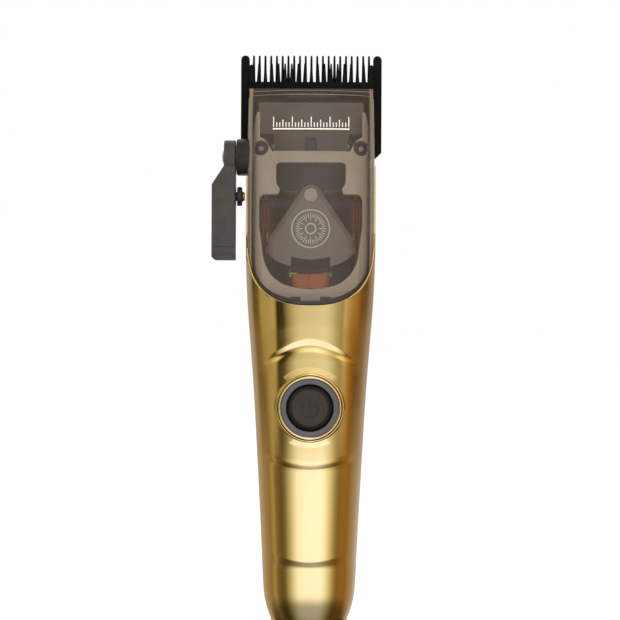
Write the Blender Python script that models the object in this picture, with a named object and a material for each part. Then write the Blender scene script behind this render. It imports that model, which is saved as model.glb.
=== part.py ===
"""Cordless hair clipper with a magnetic motor, modelled as its separate pieces.

Frame: the centre of the flat foot is the origin, +Z points to the blades, the lid and the
button face -Y, and the taper lever is on the -X side.
"""
import bpy
import bmesh
from math import copysign, cos, pi, radians, sin, sqrt
from mathutils import Vector

# Every size below is in millimetres; MM turns it into metres when a mesh is stored.
MM = 0.001
GAP = 0.3                      # between pieces that touch
FAR = 60.0                     # reach of a cutter that goes right through
ABOVE = 200.0                  # a height above the whole clipper

# Casing: height, half width, depth to the front, depth to the rear
CASING = (
    (0.0, 10.5, 8.0, 8.0),
    (1.4, 11.3, 9.2, 9.0),
    (5.0, 12.3, 10.8, 10.2),
    (9.0, 13.7, 12.6, 11.4),
    (14.0, 14.7, 13.9, 12.5),
    (27.0, 15.4, 15.3, 13.5),
    (43.0, 16.2, 16.0, 13.8),
    (59.0, 17.1, 16.6, 14.0),
    (76.0, 18.05, 17.0, 14.2),
    (92.0, 19.2, 17.3, 14.8),
    (106.0, 20.3, 17.8, 15.6),
    (119.0, 20.9, 18.3, 16.5),
    (133.0, 21.05, 18.3, 17.0),
    (140.0, 21.05, 17.6, 16.2),
    (146.0, 21.05, 16.8, 13.8),
    (152.0, 21.0, 15.6, 10.2),
    (160.0, 20.9, 13.0, 9.2),
    (168.0, 20.7, 8.8, 8.4),
    (173.0, 20.6, 5.0, 7.9),
    (176.3, 20.5, 1.9, 7.5),
)
CASING_SIDES = 40
SQUARENESS = 3.2               # exponent of the casing's section: 2 is an ellipse
WALL = 1.4
LID_WALL = 1.2
BASE_TOP = 5.7                 # joint between the base cap and the two housings
BASE_FLOOR = 2.6
REAR_TOP = 151.5

# Lid: a rounded U below LID_CENTRE, flaring out through the sides above it
LID_CENTRE = 128.0
LID_HALF_WIDTH = 20.2
LID_DROP = 21.9
LID_SQUARENESS = 2.6
LID_FLARE = (26.0, 140.0)      # where the flaring edge ends, well outside the casing
LID_BASE, LID_TOP = 100.0, 176.3
LID_INSET = 0.5                # the lid sits inside the casing's outer form
LID_SHOULDER = 151.8           # above this the lid's sides reach back to the cutter
LID_BACK = 2.8

# Magnetic motor
PIN_Z = 141.3
PIN_RADIUS = 2.15
PLATE_FRONT, PLATE_BACK = -11.0, -9.0
ARM_FRONT, ARM_BACK = -8.7, -6.9
TIP_Z = 158.0
TIP_RADIUS = 1.4
LOBE_RADIUS = 23.6             # armature lobes about the pin
NOTCH_RADIUS = 20.5
POLE_RADIUS = 24.2             # stator pole faces about the pin
CORE_FRONT, CORE_BACK = -8.0, -2.0
CORE_BASE, CORE_BASE_TOP = 98.0, 104.0
LEG_INNER, LEG_OUTER = 6.8, 11.7
CENTRE_LEG = 3.2
CHASSIS_FRONT, CHASSIS_BACK = -13.0, -4.0

# Blades
BLADE_HALF = 23.0
BLADE_FRONT, BLADE_BACK = 6.0, 9.0
BLADE_BOTTOM, BLADE_ROOT, BLADE_TIP = 154.3, 176.5, 188.0
FINE_TEETH = 21
END_TOOTH = 2.8
CUTTER_HALF = 20.3
CUTTER_FRONT, CUTTER_BACK = 3.2, 5.7
CUTTER_BOTTOM, CUTTER_ROOT, CUTTER_TIP = 161.2, 179.0, 185.2
CUTTER_TEETH = 17
CARRIER_HALF = 16.3

# Taper lever: its axis runs along X
LEVER_Y, LEVER_Z = -1.0, 154.0
LEVER_AXIS = (LEVER_Y, LEVER_Z)
BOSS_RADIUS = 6.0
LEVER_INNER, LEVER_HUB, LEVER_OUTER = -24.3, -28.0, -31.9
LEVER_END = 120.7
LEVER_SWING = radians(70.0)
BLADE_TRAVEL = 2.4
CAM_OFFSET = BLADE_TRAVEL / 2 / sin(LEVER_SWING / 2)
CAM_RADIUS = 1.5
DETENT_Z = 141.3

# Power button
BUTTON_Z = 73.8
BUTTON_FACE = -18.2
BUTTON_HOLE = 10.4

# Electrics
BOARD_FRONT, BOARD_BACK = -11.4, -9.8
CELL_RADIUS, CELL_Y = 9.2, 1.6
CELL_BOTTOM, CELL_TOP = 16.5, 80.6
PORT_HALF, PORT_FRONT, PORT_BACK = 4.3, 3.2, 5.8

# Screws, as (x, z) on the front view
REAR_SCREWS = ((-6.5, 11.5), (6.5, 11.5), (-9.0, 90.0), (9.0, 90.0))
CHASSIS_SCREWS = ((-16.0, 156.4), (16.0, 156.4))
BLADE_SCREWS = ((-11.5, 158.0), (11.5, 158.0))
SHANK_RADIUS = 1.1
CLEARANCE_RADIUS = 1.4         # of the holes that the shanks pass through

LEVER_PIVOT = (-24.0, LEVER_Y, LEVER_Z)
PIN_PIVOT = (0.0, PLATE_FRONT, PIN_Z)
BUTTON_PIVOT = (0.0, BUTTON_FACE, BUTTON_Z)


# ---------------------------------------------------------------- tools

def look(name, colour, roughness, metallic=0.0, alpha=1.0):
    """A Principled material; the colour is the one seen on a screen."""
    material = bpy.data.materials.new(name)
    material.use_nodes = True
    shader = material.node_tree.nodes["Principled BSDF"]
    shader.inputs["Base Color"].default_value = [(c / 255) ** 2.2 for c in colour] + [1.0]
    shader.inputs["Roughness"].default_value = roughness
    shader.inputs["Metallic"].default_value = metallic
    shader.inputs["Alpha"].default_value = alpha
    return material


def store(name, bm, material=None, pivot=(0.0, 0.0, 0.0)):
    """Keep a mesh drawn in millimetres as an object whose origin is its pivot."""
    bmesh.ops.recalc_face_normals(bm, faces=bm.faces)
    bmesh.ops.translate(bm, verts=bm.verts, vec=-Vector(pivot))
    bmesh.ops.scale(bm, verts=bm.verts, vec=(MM, MM, MM))
    mesh = bpy.data.meshes.new(name)
    bm.to_mesh(mesh)
    bm.free()
    piece = bpy.data.objects.new(name, mesh)
    piece.location = Vector(pivot) * MM
    bpy.context.collection.objects.link(piece)
    if material:
        mesh.materials.append(material)
    return piece


def combine(piece, bm, operation):
    """Cut, join or intersect a piece with a hidden tool."""
    tool = store(piece.name + "_tool", bm)
    tool.hide_render = True
    tool.display_type = "WIRE"
    modifier = piece.modifiers.new(operation.lower(), "BOOLEAN")
    modifier.operation = operation
    modifier.solver = "EXACT"
    modifier.object = tool


def cut(piece, bm):
    combine(piece, bm, "DIFFERENCE")


def join(piece, bm):
    combine(piece, bm, "UNION")


def place(axis, along, u, v):
    """A point from its distance along an axis and its two places across it."""
    return {"X": Vector((along, u, v)), "Y": Vector((u, along, v)), "Z": Vector((u, v, along))}[axis]


def prism(outline, axis, low, high):
    """Extrude a closed outline, drawn across an axis, from low to high along it."""
    bm = bmesh.new()
    face = bm.faces.new([bm.verts.new(place(axis, low, u, v)) for u, v in outline])
    grown = bmesh.ops.extrude_face_region(bm, geom=[face])["geom"]
    moved = [item for item in grown if isinstance(item, bmesh.types.BMVert)]
    bmesh.ops.translate(bm, verts=moved, vec=place(axis, high - low, 0, 0))
    return bm


def box(x, y, z):
    """A block from its low and high on each axis."""
    return prism(((x[0], z[0]), (x[1], z[0]), (x[1], z[1]), (x[0], z[1])), "Y", y[0], y[1])


def arc(centre, radius, start, end, steps):
    """Points on an arc, with its angles in degrees from the first axis."""
    angles = [radians(start + (end - start) * i / steps) for i in range(steps + 1)]
    return [(centre[0] + radius * cos(a), centre[1] + radius * sin(a)) for a in angles]


def circle(centre, radius, steps=24):
    return arc(centre, radius, 0, 360, steps)[:-1]


def rod(axis, centre, radius, low, high, steps=24):
    return prism(circle(centre, radius, steps), axis, low, high)


def turned(axis, centre, profile, steps=24):
    """Turn a profile of (distance along, radius) points about an axis."""
    bm = bmesh.new()
    verts = [bm.verts.new(place(axis, along, centre[0] + r, centre[1])) for along, r in profile]
    closed = min(r for _, r in profile) > 0
    pairs = list(zip(verts, verts[1:])) + ([(verts[-1], verts[0])] if closed else [])
    edges = [bm.edges.new(pair) for pair in pairs]
    bmesh.ops.spin(bm, geom=verts + edges, cent=place(axis, 0, *centre), axis=place(axis, 1, 0, 0),
                   angle=2 * pi, steps=steps, use_merge=True)
    bmesh.ops.remove_doubles(bm, verts=bm.verts, dist=0.0005)
    return bm


def mirrored(half):
    """Close a half outline, listed on the +X side from one point of the middle line to another."""
    return list(half) + [(-x, z) for x, z in reversed(half) if x > 0]


def rounded_section(z, width, front, rear, inset):
    """One level ring of the casing."""
    points = []
    for i in range(CASING_SIDES):
        c, s = cos(2 * pi * i / CASING_SIDES), sin(2 * pi * i / CASING_SIDES)
        depth = front if s < 0 else rear
        x = (width - inset) * copysign(abs(c) ** (2 / SQUARENESS), c)
        y = (max(depth - inset, 0.4)) * copysign(abs(s) ** (2 / SQUARENESS), s)
        points.append((x, y, z))
    return points


def casing(inset, low, high):
    """The casing's outer form, or the same form inset all round, between two heights."""
    levels = [between(low)] + [row for row in CASING if low < row[0] < high] + [between(high)]
    bm = bmesh.new()
    rings = []
    for row in levels:
        verts = [bm.verts.new(p) for p in rounded_section(*row, inset)]
        rings.append([bm.edges.new((a, b)) for a, b in zip(verts, verts[1:] + verts[:1])])
        if row in (levels[0], levels[-1]):
            bm.faces.new(verts)
    for lower, upper in zip(rings, rings[1:]):
        bmesh.ops.bridge_loops(bm, edges=lower + upper)
    return bm


def between(z):
    """The casing's section at any height, level with its end sections beyond them."""
    if z <= CASING[0][0] or z >= CASING[-1][0]:
        return (z,) + CASING[0 if z <= CASING[0][0] else -1][1:]
    for a, b in zip(CASING, CASING[1:]):
        if a[0] <= z <= b[0]:
            t = (z - a[0]) / (b[0] - a[0])
            return (z,) + tuple(p + t * (q - p) for p, q in zip(a[1:], b[1:]))


def carry(name, pivot, pieces):
    """Parent a moving body's pieces to an empty on its joint."""
    empty = bpy.data.objects.new(name, None)
    empty.location = Vector(pivot) * MM
    bpy.context.collection.objects.link(empty)
    for piece in pieces:
        piece.parent = empty
        piece.location = (0, 0, 0)


def smooth(pieces, angle=35.0):
    for piece in pieces:
        piece.data.shade_smooth()
        piece.data.set_sharp_from_angle(angle=radians(angle))


def clear_scene():
    for item in list(bpy.data.objects):
        bpy.data.objects.remove(item)


# ---------------------------------------------------------------- looks

clear_scene()
GOLD = look("gold", (226, 190, 110), 0.25, 1.0)
GOLD_BRIGHT = look("gold_bezel", (241, 213, 138), 0.15, 1.0)
SMOKE = look("smoked_cover", (96, 87, 82), 0.1, 0.0, 0.5)
FRAME_GREY = look("chassis_plastic", (190, 178, 160), 0.5)
DARK_STEEL = look("dark_steel", (70, 68, 66), 0.35, 1.0)
BLADE_BLACK = look("blade_black", (14, 14, 15), 0.3, 0.6)
LEVER_BLACK = look("lever_black", (60, 56, 54), 0.35, 0.5)
BUTTON_DARK = look("button_dark", (61, 55, 49), 0.4, 0.3)
RING_GREY = look("ring_grey", (102, 102, 107), 0.4)
STEEL = look("steel", (190, 190, 190), 0.25, 1.0)
PLATE_STEEL = look("plate_steel", (150, 145, 140), 0.35, 0.8)
COPPER = look("copper", (184, 110, 66), 0.35, 1.0)
RED = look("spring_red", (150, 40, 34), 0.4)
BLACK = look("black_plastic", (30, 29, 28), 0.5)
BOARD_GREEN = look("board_green", (22, 70, 44), 0.5)
CELL_BLUE = look("cell_wrap", (40, 78, 120), 0.4)


# ---------------------------------------------------------------- casing

def lid_curve(side, drop, steps):
    """The rounded U, drawn in at the sides and at the bottom, from left to right."""
    power = 2 / LID_SQUARENESS
    width, height = LID_HALF_WIDTH - side, LID_DROP - drop
    return [(width * copysign(abs(c) ** power, c), LID_CENTRE - height * abs(s) ** power)
            for c, s in arc((0, 0), 1.0, 180, 360, 2 * steps)]


def lid_outline(gap):
    """The lid's edge seen from the front, drawn in by a gap."""
    x, z = LID_FLARE[0], LID_FLARE[1] + gap
    return lid_curve(gap, gap, 10) + [(x, z), (x, ABOVE), (-x, ABOVE), (-x, z)]


def behind(y, shoulder_y):
    """Everything behind the lid: its back steps at the shoulder."""
    outline = ((y, -10), (FAR, -10), (FAR, ABOVE), (shoulder_y, ABOVE), (shoulder_y, LID_SHOULDER),
               (y, LID_SHOULDER))
    return prism(outline, "X", -FAR, FAR)


def lever_hole():
    """The notch that clears the lever's boss."""
    return rod("X", LEVER_AXIS, BOSS_RADIUS + GAP, -30.0, -18.0, 28)


def base_cap():
    cap = store("base_cap", casing(0, 0.0, BASE_TOP), GOLD)
    cut(cap, casing(WALL, BASE_FLOOR, BASE_TOP + 3))
    mouth = (-PORT_HALF - GAP, PORT_HALF + GAP)
    cut(cap, box(mouth, (PORT_FRONT - GAP, PORT_BACK + GAP), (-5, BASE_FLOOR + 2)))
    return cap


def front_housing():
    shell = store("front_housing", casing(0, BASE_TOP + GAP, LID_FLARE[1]), GOLD)
    cut(shell, casing(WALL, -5, LID_FLARE[1] + 10))
    cut(shell, box((-FAR, FAR), (-GAP / 2, FAR), (-5, ABOVE)))
    cut(shell, prism(lid_outline(0), "Y", -FAR, FAR))
    cut(shell, rod("Y", (0, BUTTON_Z), BUTTON_HOLE, -30, -6, 40))
    return shell


def rear_housing():
    shell = store("rear_housing", casing(0, BASE_TOP + GAP, REAR_TOP), GOLD)
    cut(shell, casing(WALL, -5, REAR_TOP + 4))
    cut(shell, box((-FAR, FAR), (-FAR, GAP / 2), (-5, ABOVE)))
    cut(shell, lever_hole())
    for x, z in REAR_SCREWS:
        cut(shell, rod("Y", (x, z), 2.5, 5, 30))
    return shell


def lid():
    cover = store("lid", casing(LID_INSET, LID_BASE, LID_TOP), SMOKE)
    cut(cover, casing(LID_INSET + LID_WALL, LID_BASE - 5, LID_TOP + 6))
    combine(cover, prism(lid_outline(GAP), "Y", -FAR, FAR), "INTERSECT")
    cut(cover, behind(-GAP / 2, LID_BACK))
    cut(cover, lever_hole())
    return cover


def rear_screws():
    screws = []
    for (x, z), name in zip(REAR_SCREWS, ("lower_left", "lower_right", "upper_left", "upper_right")):
        head = between(z)[3] - 1.2
        profile = ((head - 9, 0), (head - 9, SHANK_RADIUS), (head - 1.2, SHANK_RADIUS), (head - 1.2, 2.2),
                   (head, 2.2), (head, 0))
        screws.append(store("rear_screw_" + name, turned("Y", (x, z), profile, 20), STEEL))
        cut(screws[-1], box((x - 1.5, x + 1.5), (head - 0.5, head + 1), (z - 0.25, z + 0.25)))
    return screws


# ---------------------------------------------------------------- chassis and motor

def chassis():
    rim = [(x, z) for x, z in lid_curve(1.5, 2.6, 10) if x >= -0.01]
    half = rim + [(19.5, 135.0), (19.5, 168.3), (16.4, 168.3), (16.4, 160.2), (14.4, 158.7), (12.4, 155.2),
                  (0, 155.2)]
    window = [(0, 111.2), (4.7, 111.6), (9.3, 113.0), (12.8, 115.9), (14.9, 120.0), (15.9, 127.4),
              (16.4, 131.0), (16.4, 140.3), (15.2, 141.5), (10.5, 141.5), (9.7, 143.0), (11.1, 145.0),
              (11.1, 151.6), (0, 151.6)]
    frame = store("chassis", prism(mirrored(half), "Y", CHASSIS_FRONT, CHASSIS_BACK), FRAME_GREY)
    combine(frame, casing(LID_INSET + LID_WALL + GAP, LID_BASE - 5, LID_TOP + 6), "INTERSECT")
    cut(frame, prism(mirrored(window), "Y", -20, 0))
    cut(frame, box((-12.4, 12.4), (-9.8, 0), (150.0, 160.0)))
    cut(frame, box((-12.3, 12.3), (-11.5, 0), (100.0, 116.0)))
    join(frame, box((-11.6, 11.6), (-5.5, CHASSIS_BACK), (142.5, 149.5)))
    join(frame, box((-6.0, 6.0), (-5.5, CHASSIS_BACK), (137.0, 143.5)))
    for screw in CHASSIS_SCREWS:
        cut(frame, rod("Y", screw, 2.5, -20, -5.6))
        cut(frame, rod("Y", screw, CLEARANCE_RADIUS, -20, 0, 16))
    return frame


def chassis_screws():
    screws = []
    for (x, z), name in zip(CHASSIS_SCREWS, ("left", "right")):
        profile = ((-6.9, 0), (-6.9, 1.8), (-6.6, 2.1), (-5.9, 2.1), (-5.9, SHANK_RADIUS),
                   (-2.3, SHANK_RADIUS),
                   (-2.3, 0))
        screws.append(store("chassis_screw_" + name, turned("Y", (x, z), profile, 20), STEEL))
        cut(screws[-1], rod("Y", (x, z), 0.9, -12, -6.3, 6))
    return screws


def armature_pin():
    profile = ((-12.2, 0), (-12.2, 1.85), (-11.9, PIN_RADIUS), (-5.8, PIN_RADIUS), (-5.8, 0))
    return store("armature_pin", turned("Y", (0, PIN_Z), profile, 32), STEEL)


def lobe(radius, x):
    """Height on an arc about the pin, below it."""
    return PIN_Z - sqrt(radius ** 2 - x ** 2)


def pin_bore():
    return rod("Y", (0, PIN_Z), PIN_RADIUS + 0.1, -20, 0, 32)


def armature_plate():
    apex = [(3.4 * sin(radians(a)), PIN_Z + 3.4 * cos(radians(a))) for a in (0, 20, 40, 60)]
    outer = [(x, lobe(LOBE_RADIUS, x)) for x in (11.5, 10.0, 8.2, 6.3)]
    notch = [(x, lobe(NOTCH_RADIUS, x)) for x in (6.1, 3.0, 0.0)]
    half = apex + [(13.4, 127.6), (13.4, 122.4)] + outer + notch
    body = prism(mirrored(half), "Y", PLATE_FRONT, PLATE_BACK)
    plate = store("armature_plate", body, PLATE_STEEL, PIN_PIVOT)
    cut(plate, pin_bore())
    return plate


def armature_magnet(name, side):
    top, inner, outer = 126.5, 6.7, 11.3
    outline = [(outer, top), (inner, top)] + [(x, lobe(LOBE_RADIUS, x)) for x in (inner, 9.0, outer)]
    outline = [(side * x, z) for x, z in outline]
    return store(name, prism(outline, "Y", ARM_FRONT, -4.0), DARK_STEEL, PIN_PIVOT)


def drive_arm():
    half = [(0, 160.0), (1.7, 160.0), (2.0, 157.0), (3.0, 146.0), (4.2, 143.0), (4.2, 138.5), (2.6, 136.9),
            (0, 136.9)]
    arm = store("drive_arm", prism(mirrored(half), "Y", ARM_FRONT, ARM_BACK), BLACK, PIN_PIVOT)
    cut(arm, pin_bore())
    return arm


def drive_tip():
    return store("drive_tip", rod("Y", (0, TIP_Z), TIP_RADIUS, ARM_BACK + GAP, 1.2), STEEL, PIN_PIVOT)


def stator_core():
    outer = [(x, lobe(POLE_RADIUS, x)) for x in (LEG_OUTER, 9.2, LEG_INNER)]
    half = [(0, CORE_BASE), (LEG_OUTER, CORE_BASE)] + outer + [
        (LEG_INNER, CORE_BASE_TOP), (CENTRE_LEG, CORE_BASE_TOP), (CENTRE_LEG, 120.0), (0, 120.0)]
    return store("stator_core", prism(mirrored(half), "Y", CORE_FRONT, CORE_BACK), DARK_STEEL)


def coil_bobbin():
    bobbin = store("coil_bobbin", box((-6.5, 6.5), (-11.2, 1.2), (104.3, 105.3)), BLACK)
    join(bobbin, box((-4.1, 4.1), (-8.9, -1.1), (104.8, 117.2)))
    join(bobbin, box((-6.5, 6.5), (-11.2, 1.2), (116.8, 117.8)))
    cut(bobbin, box((-3.5, 3.5), (-8.3, -1.7), (100.0, 125.0)))
    return bobbin


def coil_winding():
    winding = store("coil_winding", box((-6.2, 6.2), (-10.8, 0.8), (105.6, 116.5)), COPPER)
    cut(winding, box((-4.4, 4.4), (-9.2, -0.8), (100.0, 125.0)))
    return winding


def centring_spring(name, side):
    """A short, fat coil of red wire between the chassis wall and the armature's flank."""
    turns, mean, wire, steps = 2.5, 4.6, 0.45, 14
    start, length = 13.1, 2.5
    path = bpy.data.curves.new(name, "CURVE")
    path.dimensions = "3D"
    path.bevel_depth = wire * MM
    path.bevel_resolution = 2
    path.use_fill_caps = True
    count = int(turns * steps)
    spline = path.splines.new("POLY")
    spline.points.add(count)
    for i, point in enumerate(spline.points):
        angle = 2 * pi * i / steps
        x = side * (start + length * i / count)
        place_m = Vector((x, -8.0 + mean * cos(angle), 134.2 + mean * sin(angle))) * MM
        point.co = (*place_m, 1.0)
    path.materials.append(RED)
    spring = bpy.data.objects.new(name, path)
    bpy.context.collection.objects.link(spring)
    return spring


# ---------------------------------------------------------------- blades

def comb(half_width, root, bottom, teeth, end_tooth, tip, taper, drop=0.0):
    """A comb's front outline: teeth of equal pitch between two wider end teeth."""
    pitch = 2 * (half_width - end_tooth) / (teeth + 0.45)
    outline = [(-half_width, bottom), (-half_width, tip - drop - 1.2),
               (-half_width + end_tooth / 2, tip - drop),
               (-half_width + end_tooth, tip - drop - 1.2), (-half_width + end_tooth, root)]
    for i in range(teeth):
        centre = (i - (teeth - 1) / 2) * pitch
        foot, point = pitch * 0.3, pitch * taper
        outline += [(centre - foot, root), (centre - point, tip - 0.3), (centre + point, tip - 0.3),
                    (centre + foot, root)]
    outline += [(half_width - end_tooth, root), (half_width - end_tooth, tip - drop - 1.2),
                (half_width - end_tooth / 2, tip - drop), (half_width, tip - drop - 1.2),
                (half_width, bottom)]
    return outline


def fixed_blade():
    outline = comb(BLADE_HALF, BLADE_ROOT, BLADE_BOTTOM, FINE_TEETH, END_TOOTH, BLADE_TIP, 0.2)
    blade = store("fixed_blade", prism(outline, "Y", BLADE_FRONT, BLADE_BACK), BLADE_BLACK)
    for screw in BLADE_SCREWS:
        cut(blade, rod("Y", screw, CLEARANCE_RADIUS, 0, 20, 16))
        cut(blade, rod("Y", screw, 2.7, 7.8, 20, 24))
    return blade


def blade_screw(name, x, z):
    """A cross-head screw whose head stands in the fixed blade's counterbore."""
    profile = ((3.6, 0), (3.6, SHANK_RADIUS), (8.1, SHANK_RADIUS), (8.1, 2.4), (8.9, 2.4), (9.3, 1.8),
               (9.3, 0))
    screw = store(name, turned("Y", (x, z), profile, 20), STEEL)
    cut(screw, box((x - 1.6, x + 1.6), (8.8, 12), (z - 0.3, z + 0.3)))
    cut(screw, box((x - 0.3, x + 0.3), (8.8, 12), (z - 1.6, z + 1.6)))
    return screw


def blade_carrier():
    half = CARRIER_HALF
    outline = ((-half, 143.5), (half, 143.5), (half, 158.5), (14.5, 160.3), (-14.5, 160.3), (-half, 158.5))
    carrier = store("blade_carrier", prism(outline, "Y", CUTTER_FRONT, CUTTER_BACK), BLACK)
    join(carrier, box((-CARRIER_HALF, -13.6), (-1.5, CUTTER_FRONT + 1), (150.2, 158.2)))
    slot_z = LEVER_Z + BLADE_TRAVEL / 2
    reach = CAM_RADIUS + 0.09
    cut(carrier, box((-18.0, -13.0), (-3.0, 2.8), (slot_z - reach, slot_z + reach)))
    for screw in BLADE_SCREWS:
        cut(carrier, rod("Y", screw, CLEARANCE_RADIUS, 0, 20, 16))
    return carrier


def head_frame():
    """The rails that the blade carrier slides between, and the bar that joins them."""
    inner, outer = CARRIER_HALF + GAP, CARRIER_HALF + 1.4
    outline = ((-outer, 138.0), (outer, 138.0), (outer, 158.0), (inner, 158.0), (inner, 140.7),
               (-inner, 140.7),
               (-inner, 158.0), (-outer, 158.0))
    return store("head_frame", prism(outline, "Y", 3.0, CUTTER_BACK), BLACK)


def cutter():
    outline = comb(CUTTER_HALF, CUTTER_ROOT, CUTTER_BOTTOM + 9.5, CUTTER_TEETH, 1.6, CUTTER_TIP, 0.1, 0.4)
    stem = [(16.0, CUTTER_BOTTOM + 8.0), (16.0, CUTTER_BOTTOM), (-16.0, CUTTER_BOTTOM),
            (-16.0, CUTTER_BOTTOM + 8.0)]
    return store("cutter", prism(outline + stem, "Y", CUTTER_FRONT, CUTTER_BACK), BLADE_BLACK)


def cutter_guide():
    half = [(0, 171.8), (16.6, 171.8), (17.0, 171.0), (17.0, 161.6), (12.2, 161.6), (11.6, 156.0),
            (TIP_RADIUS + 0.06, 156.0), (TIP_RADIUS + 0.06, 160.8), (0, 160.8)]
    return store("cutter_guide", prism(mirrored(half), "Y", -1.2, 2.9), BLACK)


# ---------------------------------------------------------------- taper lever

def taper_lever():
    hub = rod("X", LEVER_AXIS, 5.5, LEVER_HUB, LEVER_INNER, 32)
    lever = store("taper_lever", hub, LEVER_BLACK, LEVER_PIVOT)
    paddle = ((LEVER_INNER, 157.0), (LEVER_INNER, LEVER_END + 0.6), (-25.2, LEVER_END), (-30.3, LEVER_END),
              (-31.4, 121.4), (LEVER_OUTER, 123.0), (LEVER_OUTER, 144.5), (-31.0, 146.6), (LEVER_HUB, 151.0),
              (LEVER_HUB, 157.0))
    join(lever, prism(paddle, "Y", LEVER_Y - 4.4, LEVER_Y + 4.4))
    cut(lever, rod("X", LEVER_AXIS, 3.1, -40, LEVER_HUB + 0.7))
    cut(lever, rod("X", LEVER_AXIS, 1.5, -40, -20, 16))
    cut(lever, rod("X", (LEVER_Y, DETENT_Z), 3.4, -25.2, -20))
    cut(lever, rod("X", (LEVER_Y, DETENT_Z), 1.9, -29.0, -20, 16))
    return lever


def lever_cam_shaft():
    journal = rod("X", LEVER_AXIS, 2.5, -24.0, -18.4, 32)
    shaft = store("lever_cam_shaft", journal, STEEL, LEVER_PIVOT)
    lead = LEVER_SWING / 2
    cam = (LEVER_Y + CAM_OFFSET * cos(lead), LEVER_Z + CAM_OFFSET * sin(lead))
    join(shaft, rod("X", cam, CAM_RADIUS, -19.2, -13.9))
    cut(shaft, rod("X", LEVER_AXIS, 1.45, -26, -21.2, 16))
    return shaft


def lever_screw():
    profile = ((-28.7, 0), (-28.6, 1.2), (-28.2, 2.3), (-27.7, 2.9), (-27.6, 2.9), (-27.6, 1.2), (-21.6, 1.2),
               (-21.6, 0))
    return store("lever_screw", turned("X", LEVER_AXIS, profile, 24), STEEL, LEVER_PIVOT)


def lever_boss():
    boss = store("lever_boss", rod("X", LEVER_AXIS, BOSS_RADIUS, -24.0, -19.9, 32), LEVER_BLACK)
    cut(boss, rod("X", LEVER_AXIS, 2.6, -26, -18, 32))
    return boss


def detent_plunger():
    profile = ((-27.6, 0), (-27.6, 1.5), (-23.8, 1.5), (-23.8, 3.1), (-22.2, 3.1), (-22.0, 1.6), (-21.3, 1.6),
               (-21.3, 0))
    return store("detent_plunger", turned("X", (LEVER_Y, DETENT_Z), profile, 24), LEVER_BLACK,
                 (-23.8, LEVER_Y, DETENT_Z))


# ---------------------------------------------------------------- button and electrics

def button_bezel():
    profile = ((-14.5, 9.5), (-17.5, 9.5), (-17.8, 9.7), (-17.8, 9.9), (-17.4, 10.1), (-14.5, 10.1))
    return store("button_bezel", turned("Y", (0, BUTTON_Z), profile, 48), GOLD_BRIGHT)


def led_ring():
    profile = ((-14.8, 7.5), (-17.4, 7.5), (-17.6, 7.7), (-17.6, 9.0), (-17.4, 9.2), (-14.8, 9.2))
    return store("led_ring", turned("Y", (0, BUTTON_Z), profile, 48), RING_GREY)


def power_button():
    profile = ((BUTTON_FACE, 0), (BUTTON_FACE, 5.5), (BUTTON_FACE + 0.3, 5.8), (-16.2, 7.1), (-15.4, 7.1),
               (-15.4, 2.2), (-14.55, 2.2), (-14.55, 0))
    return store("power_button", turned("Y", (0, BUTTON_Z), profile, 40), BUTTON_DARK, BUTTON_PIVOT)


def circuit_board():
    return store("circuit_board", box((-9.5, 9.5), (BOARD_FRONT, BOARD_BACK), (28.0, 97.0)), BOARD_GREEN)


def tactile_switch():
    switch = store("tactile_switch", box((-3.0, 3.0), (-13.3, -11.7), (BUTTON_Z - 3, BUTTON_Z + 3)), BLACK)
    join(switch, rod("Y", (0, BUTTON_Z), 1.5, -13.9, -12.5, 16))
    return switch


def battery():
    bottom, top, rounded, button = CELL_BOTTOM, CELL_TOP, 0.3, 3.0
    profile = ((bottom, 0), (bottom, CELL_RADIUS - rounded), (bottom + 0.4, CELL_RADIUS),
               (top - 0.4, CELL_RADIUS),
               (top, CELL_RADIUS - rounded), (top, button), (top + 0.9, button), (top + 0.9, 0))
    return store("battery", turned("Z", (0, CELL_Y), profile, 28), CELL_BLUE)


def lead(name, points, material):
    """A thin insulated wire along a few bends."""
    path = bpy.data.curves.new(name, "CURVE")
    path.dimensions = "3D"
    path.bevel_depth = 0.5 * MM
    path.bevel_resolution = 2
    path.use_fill_caps = True
    spline = path.splines.new("POLY")
    spline.points.add(len(points) - 1)
    for point, at in zip(spline.points, points):
        point.co = (*(Vector(at) * MM), 1.0)
    path.materials.append(material)
    wire = bpy.data.objects.new(name, path)
    bpy.context.collection.objects.link(wire)
    return wire


def leads():
    wires = []
    for side, name in ((-1, "left"), (1, "right")):
        points = [(side * x, y, z) for x, y, z in
                  ((5.6, -9.2, 91.0), (5.7, -9.0, 94.0), (6.0, -8.9, 97.0), (6.2, -9.1, 100.0),
                   (6.0, -9.4, 103.4))]
        wires.append(lead("motor_lead_" + name, points, RED if side < 0 else BLACK))
    for side, name in ((-1, "positive"), (1, "negative")):
        points = [(side * x, y, z) for x, y, z in
                  ((4.6, -1.0, 81.4), (4.6, -1.6, 83.0), (4.7, -3.4, 84.6), (4.8, -6.0, 85.4),
                   (4.8, -9.2, 85.8))]
        wires.append(lead("battery_lead_" + name, points, RED if side < 0 else BLACK))
    return wires


def charging_port():
    port = store("charging_port", box((-PORT_HALF, PORT_HALF), (PORT_FRONT, PORT_BACK), (0.8, 8.5)), STEEL)
    skin = 0.6
    cut(port, box((-PORT_HALF + skin, PORT_HALF - skin), (PORT_FRONT + 0.5, PORT_BACK - 0.5), (-3, 7.5)))
    return port


def charging_contact():
    return store("charging_contact", box((-2.6, 2.6), (4.25, 4.75), (1.6, 7.2)), BLACK)


# ---------------------------------------------------------------- assembly

fixed = [base_cap(), front_housing(), rear_housing(), lid(), chassis(), armature_pin(), stator_core(),
         coil_bobbin(), coil_winding(), head_frame(), lever_boss(), button_bezel(), led_ring(),
         circuit_board(), tactile_switch(), battery(), charging_port(), charging_contact()]
fixed += rear_screws() + chassis_screws()
leads()
centring_spring("centring_spring_left", -1)
centring_spring("centring_spring_right", 1)

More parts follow.
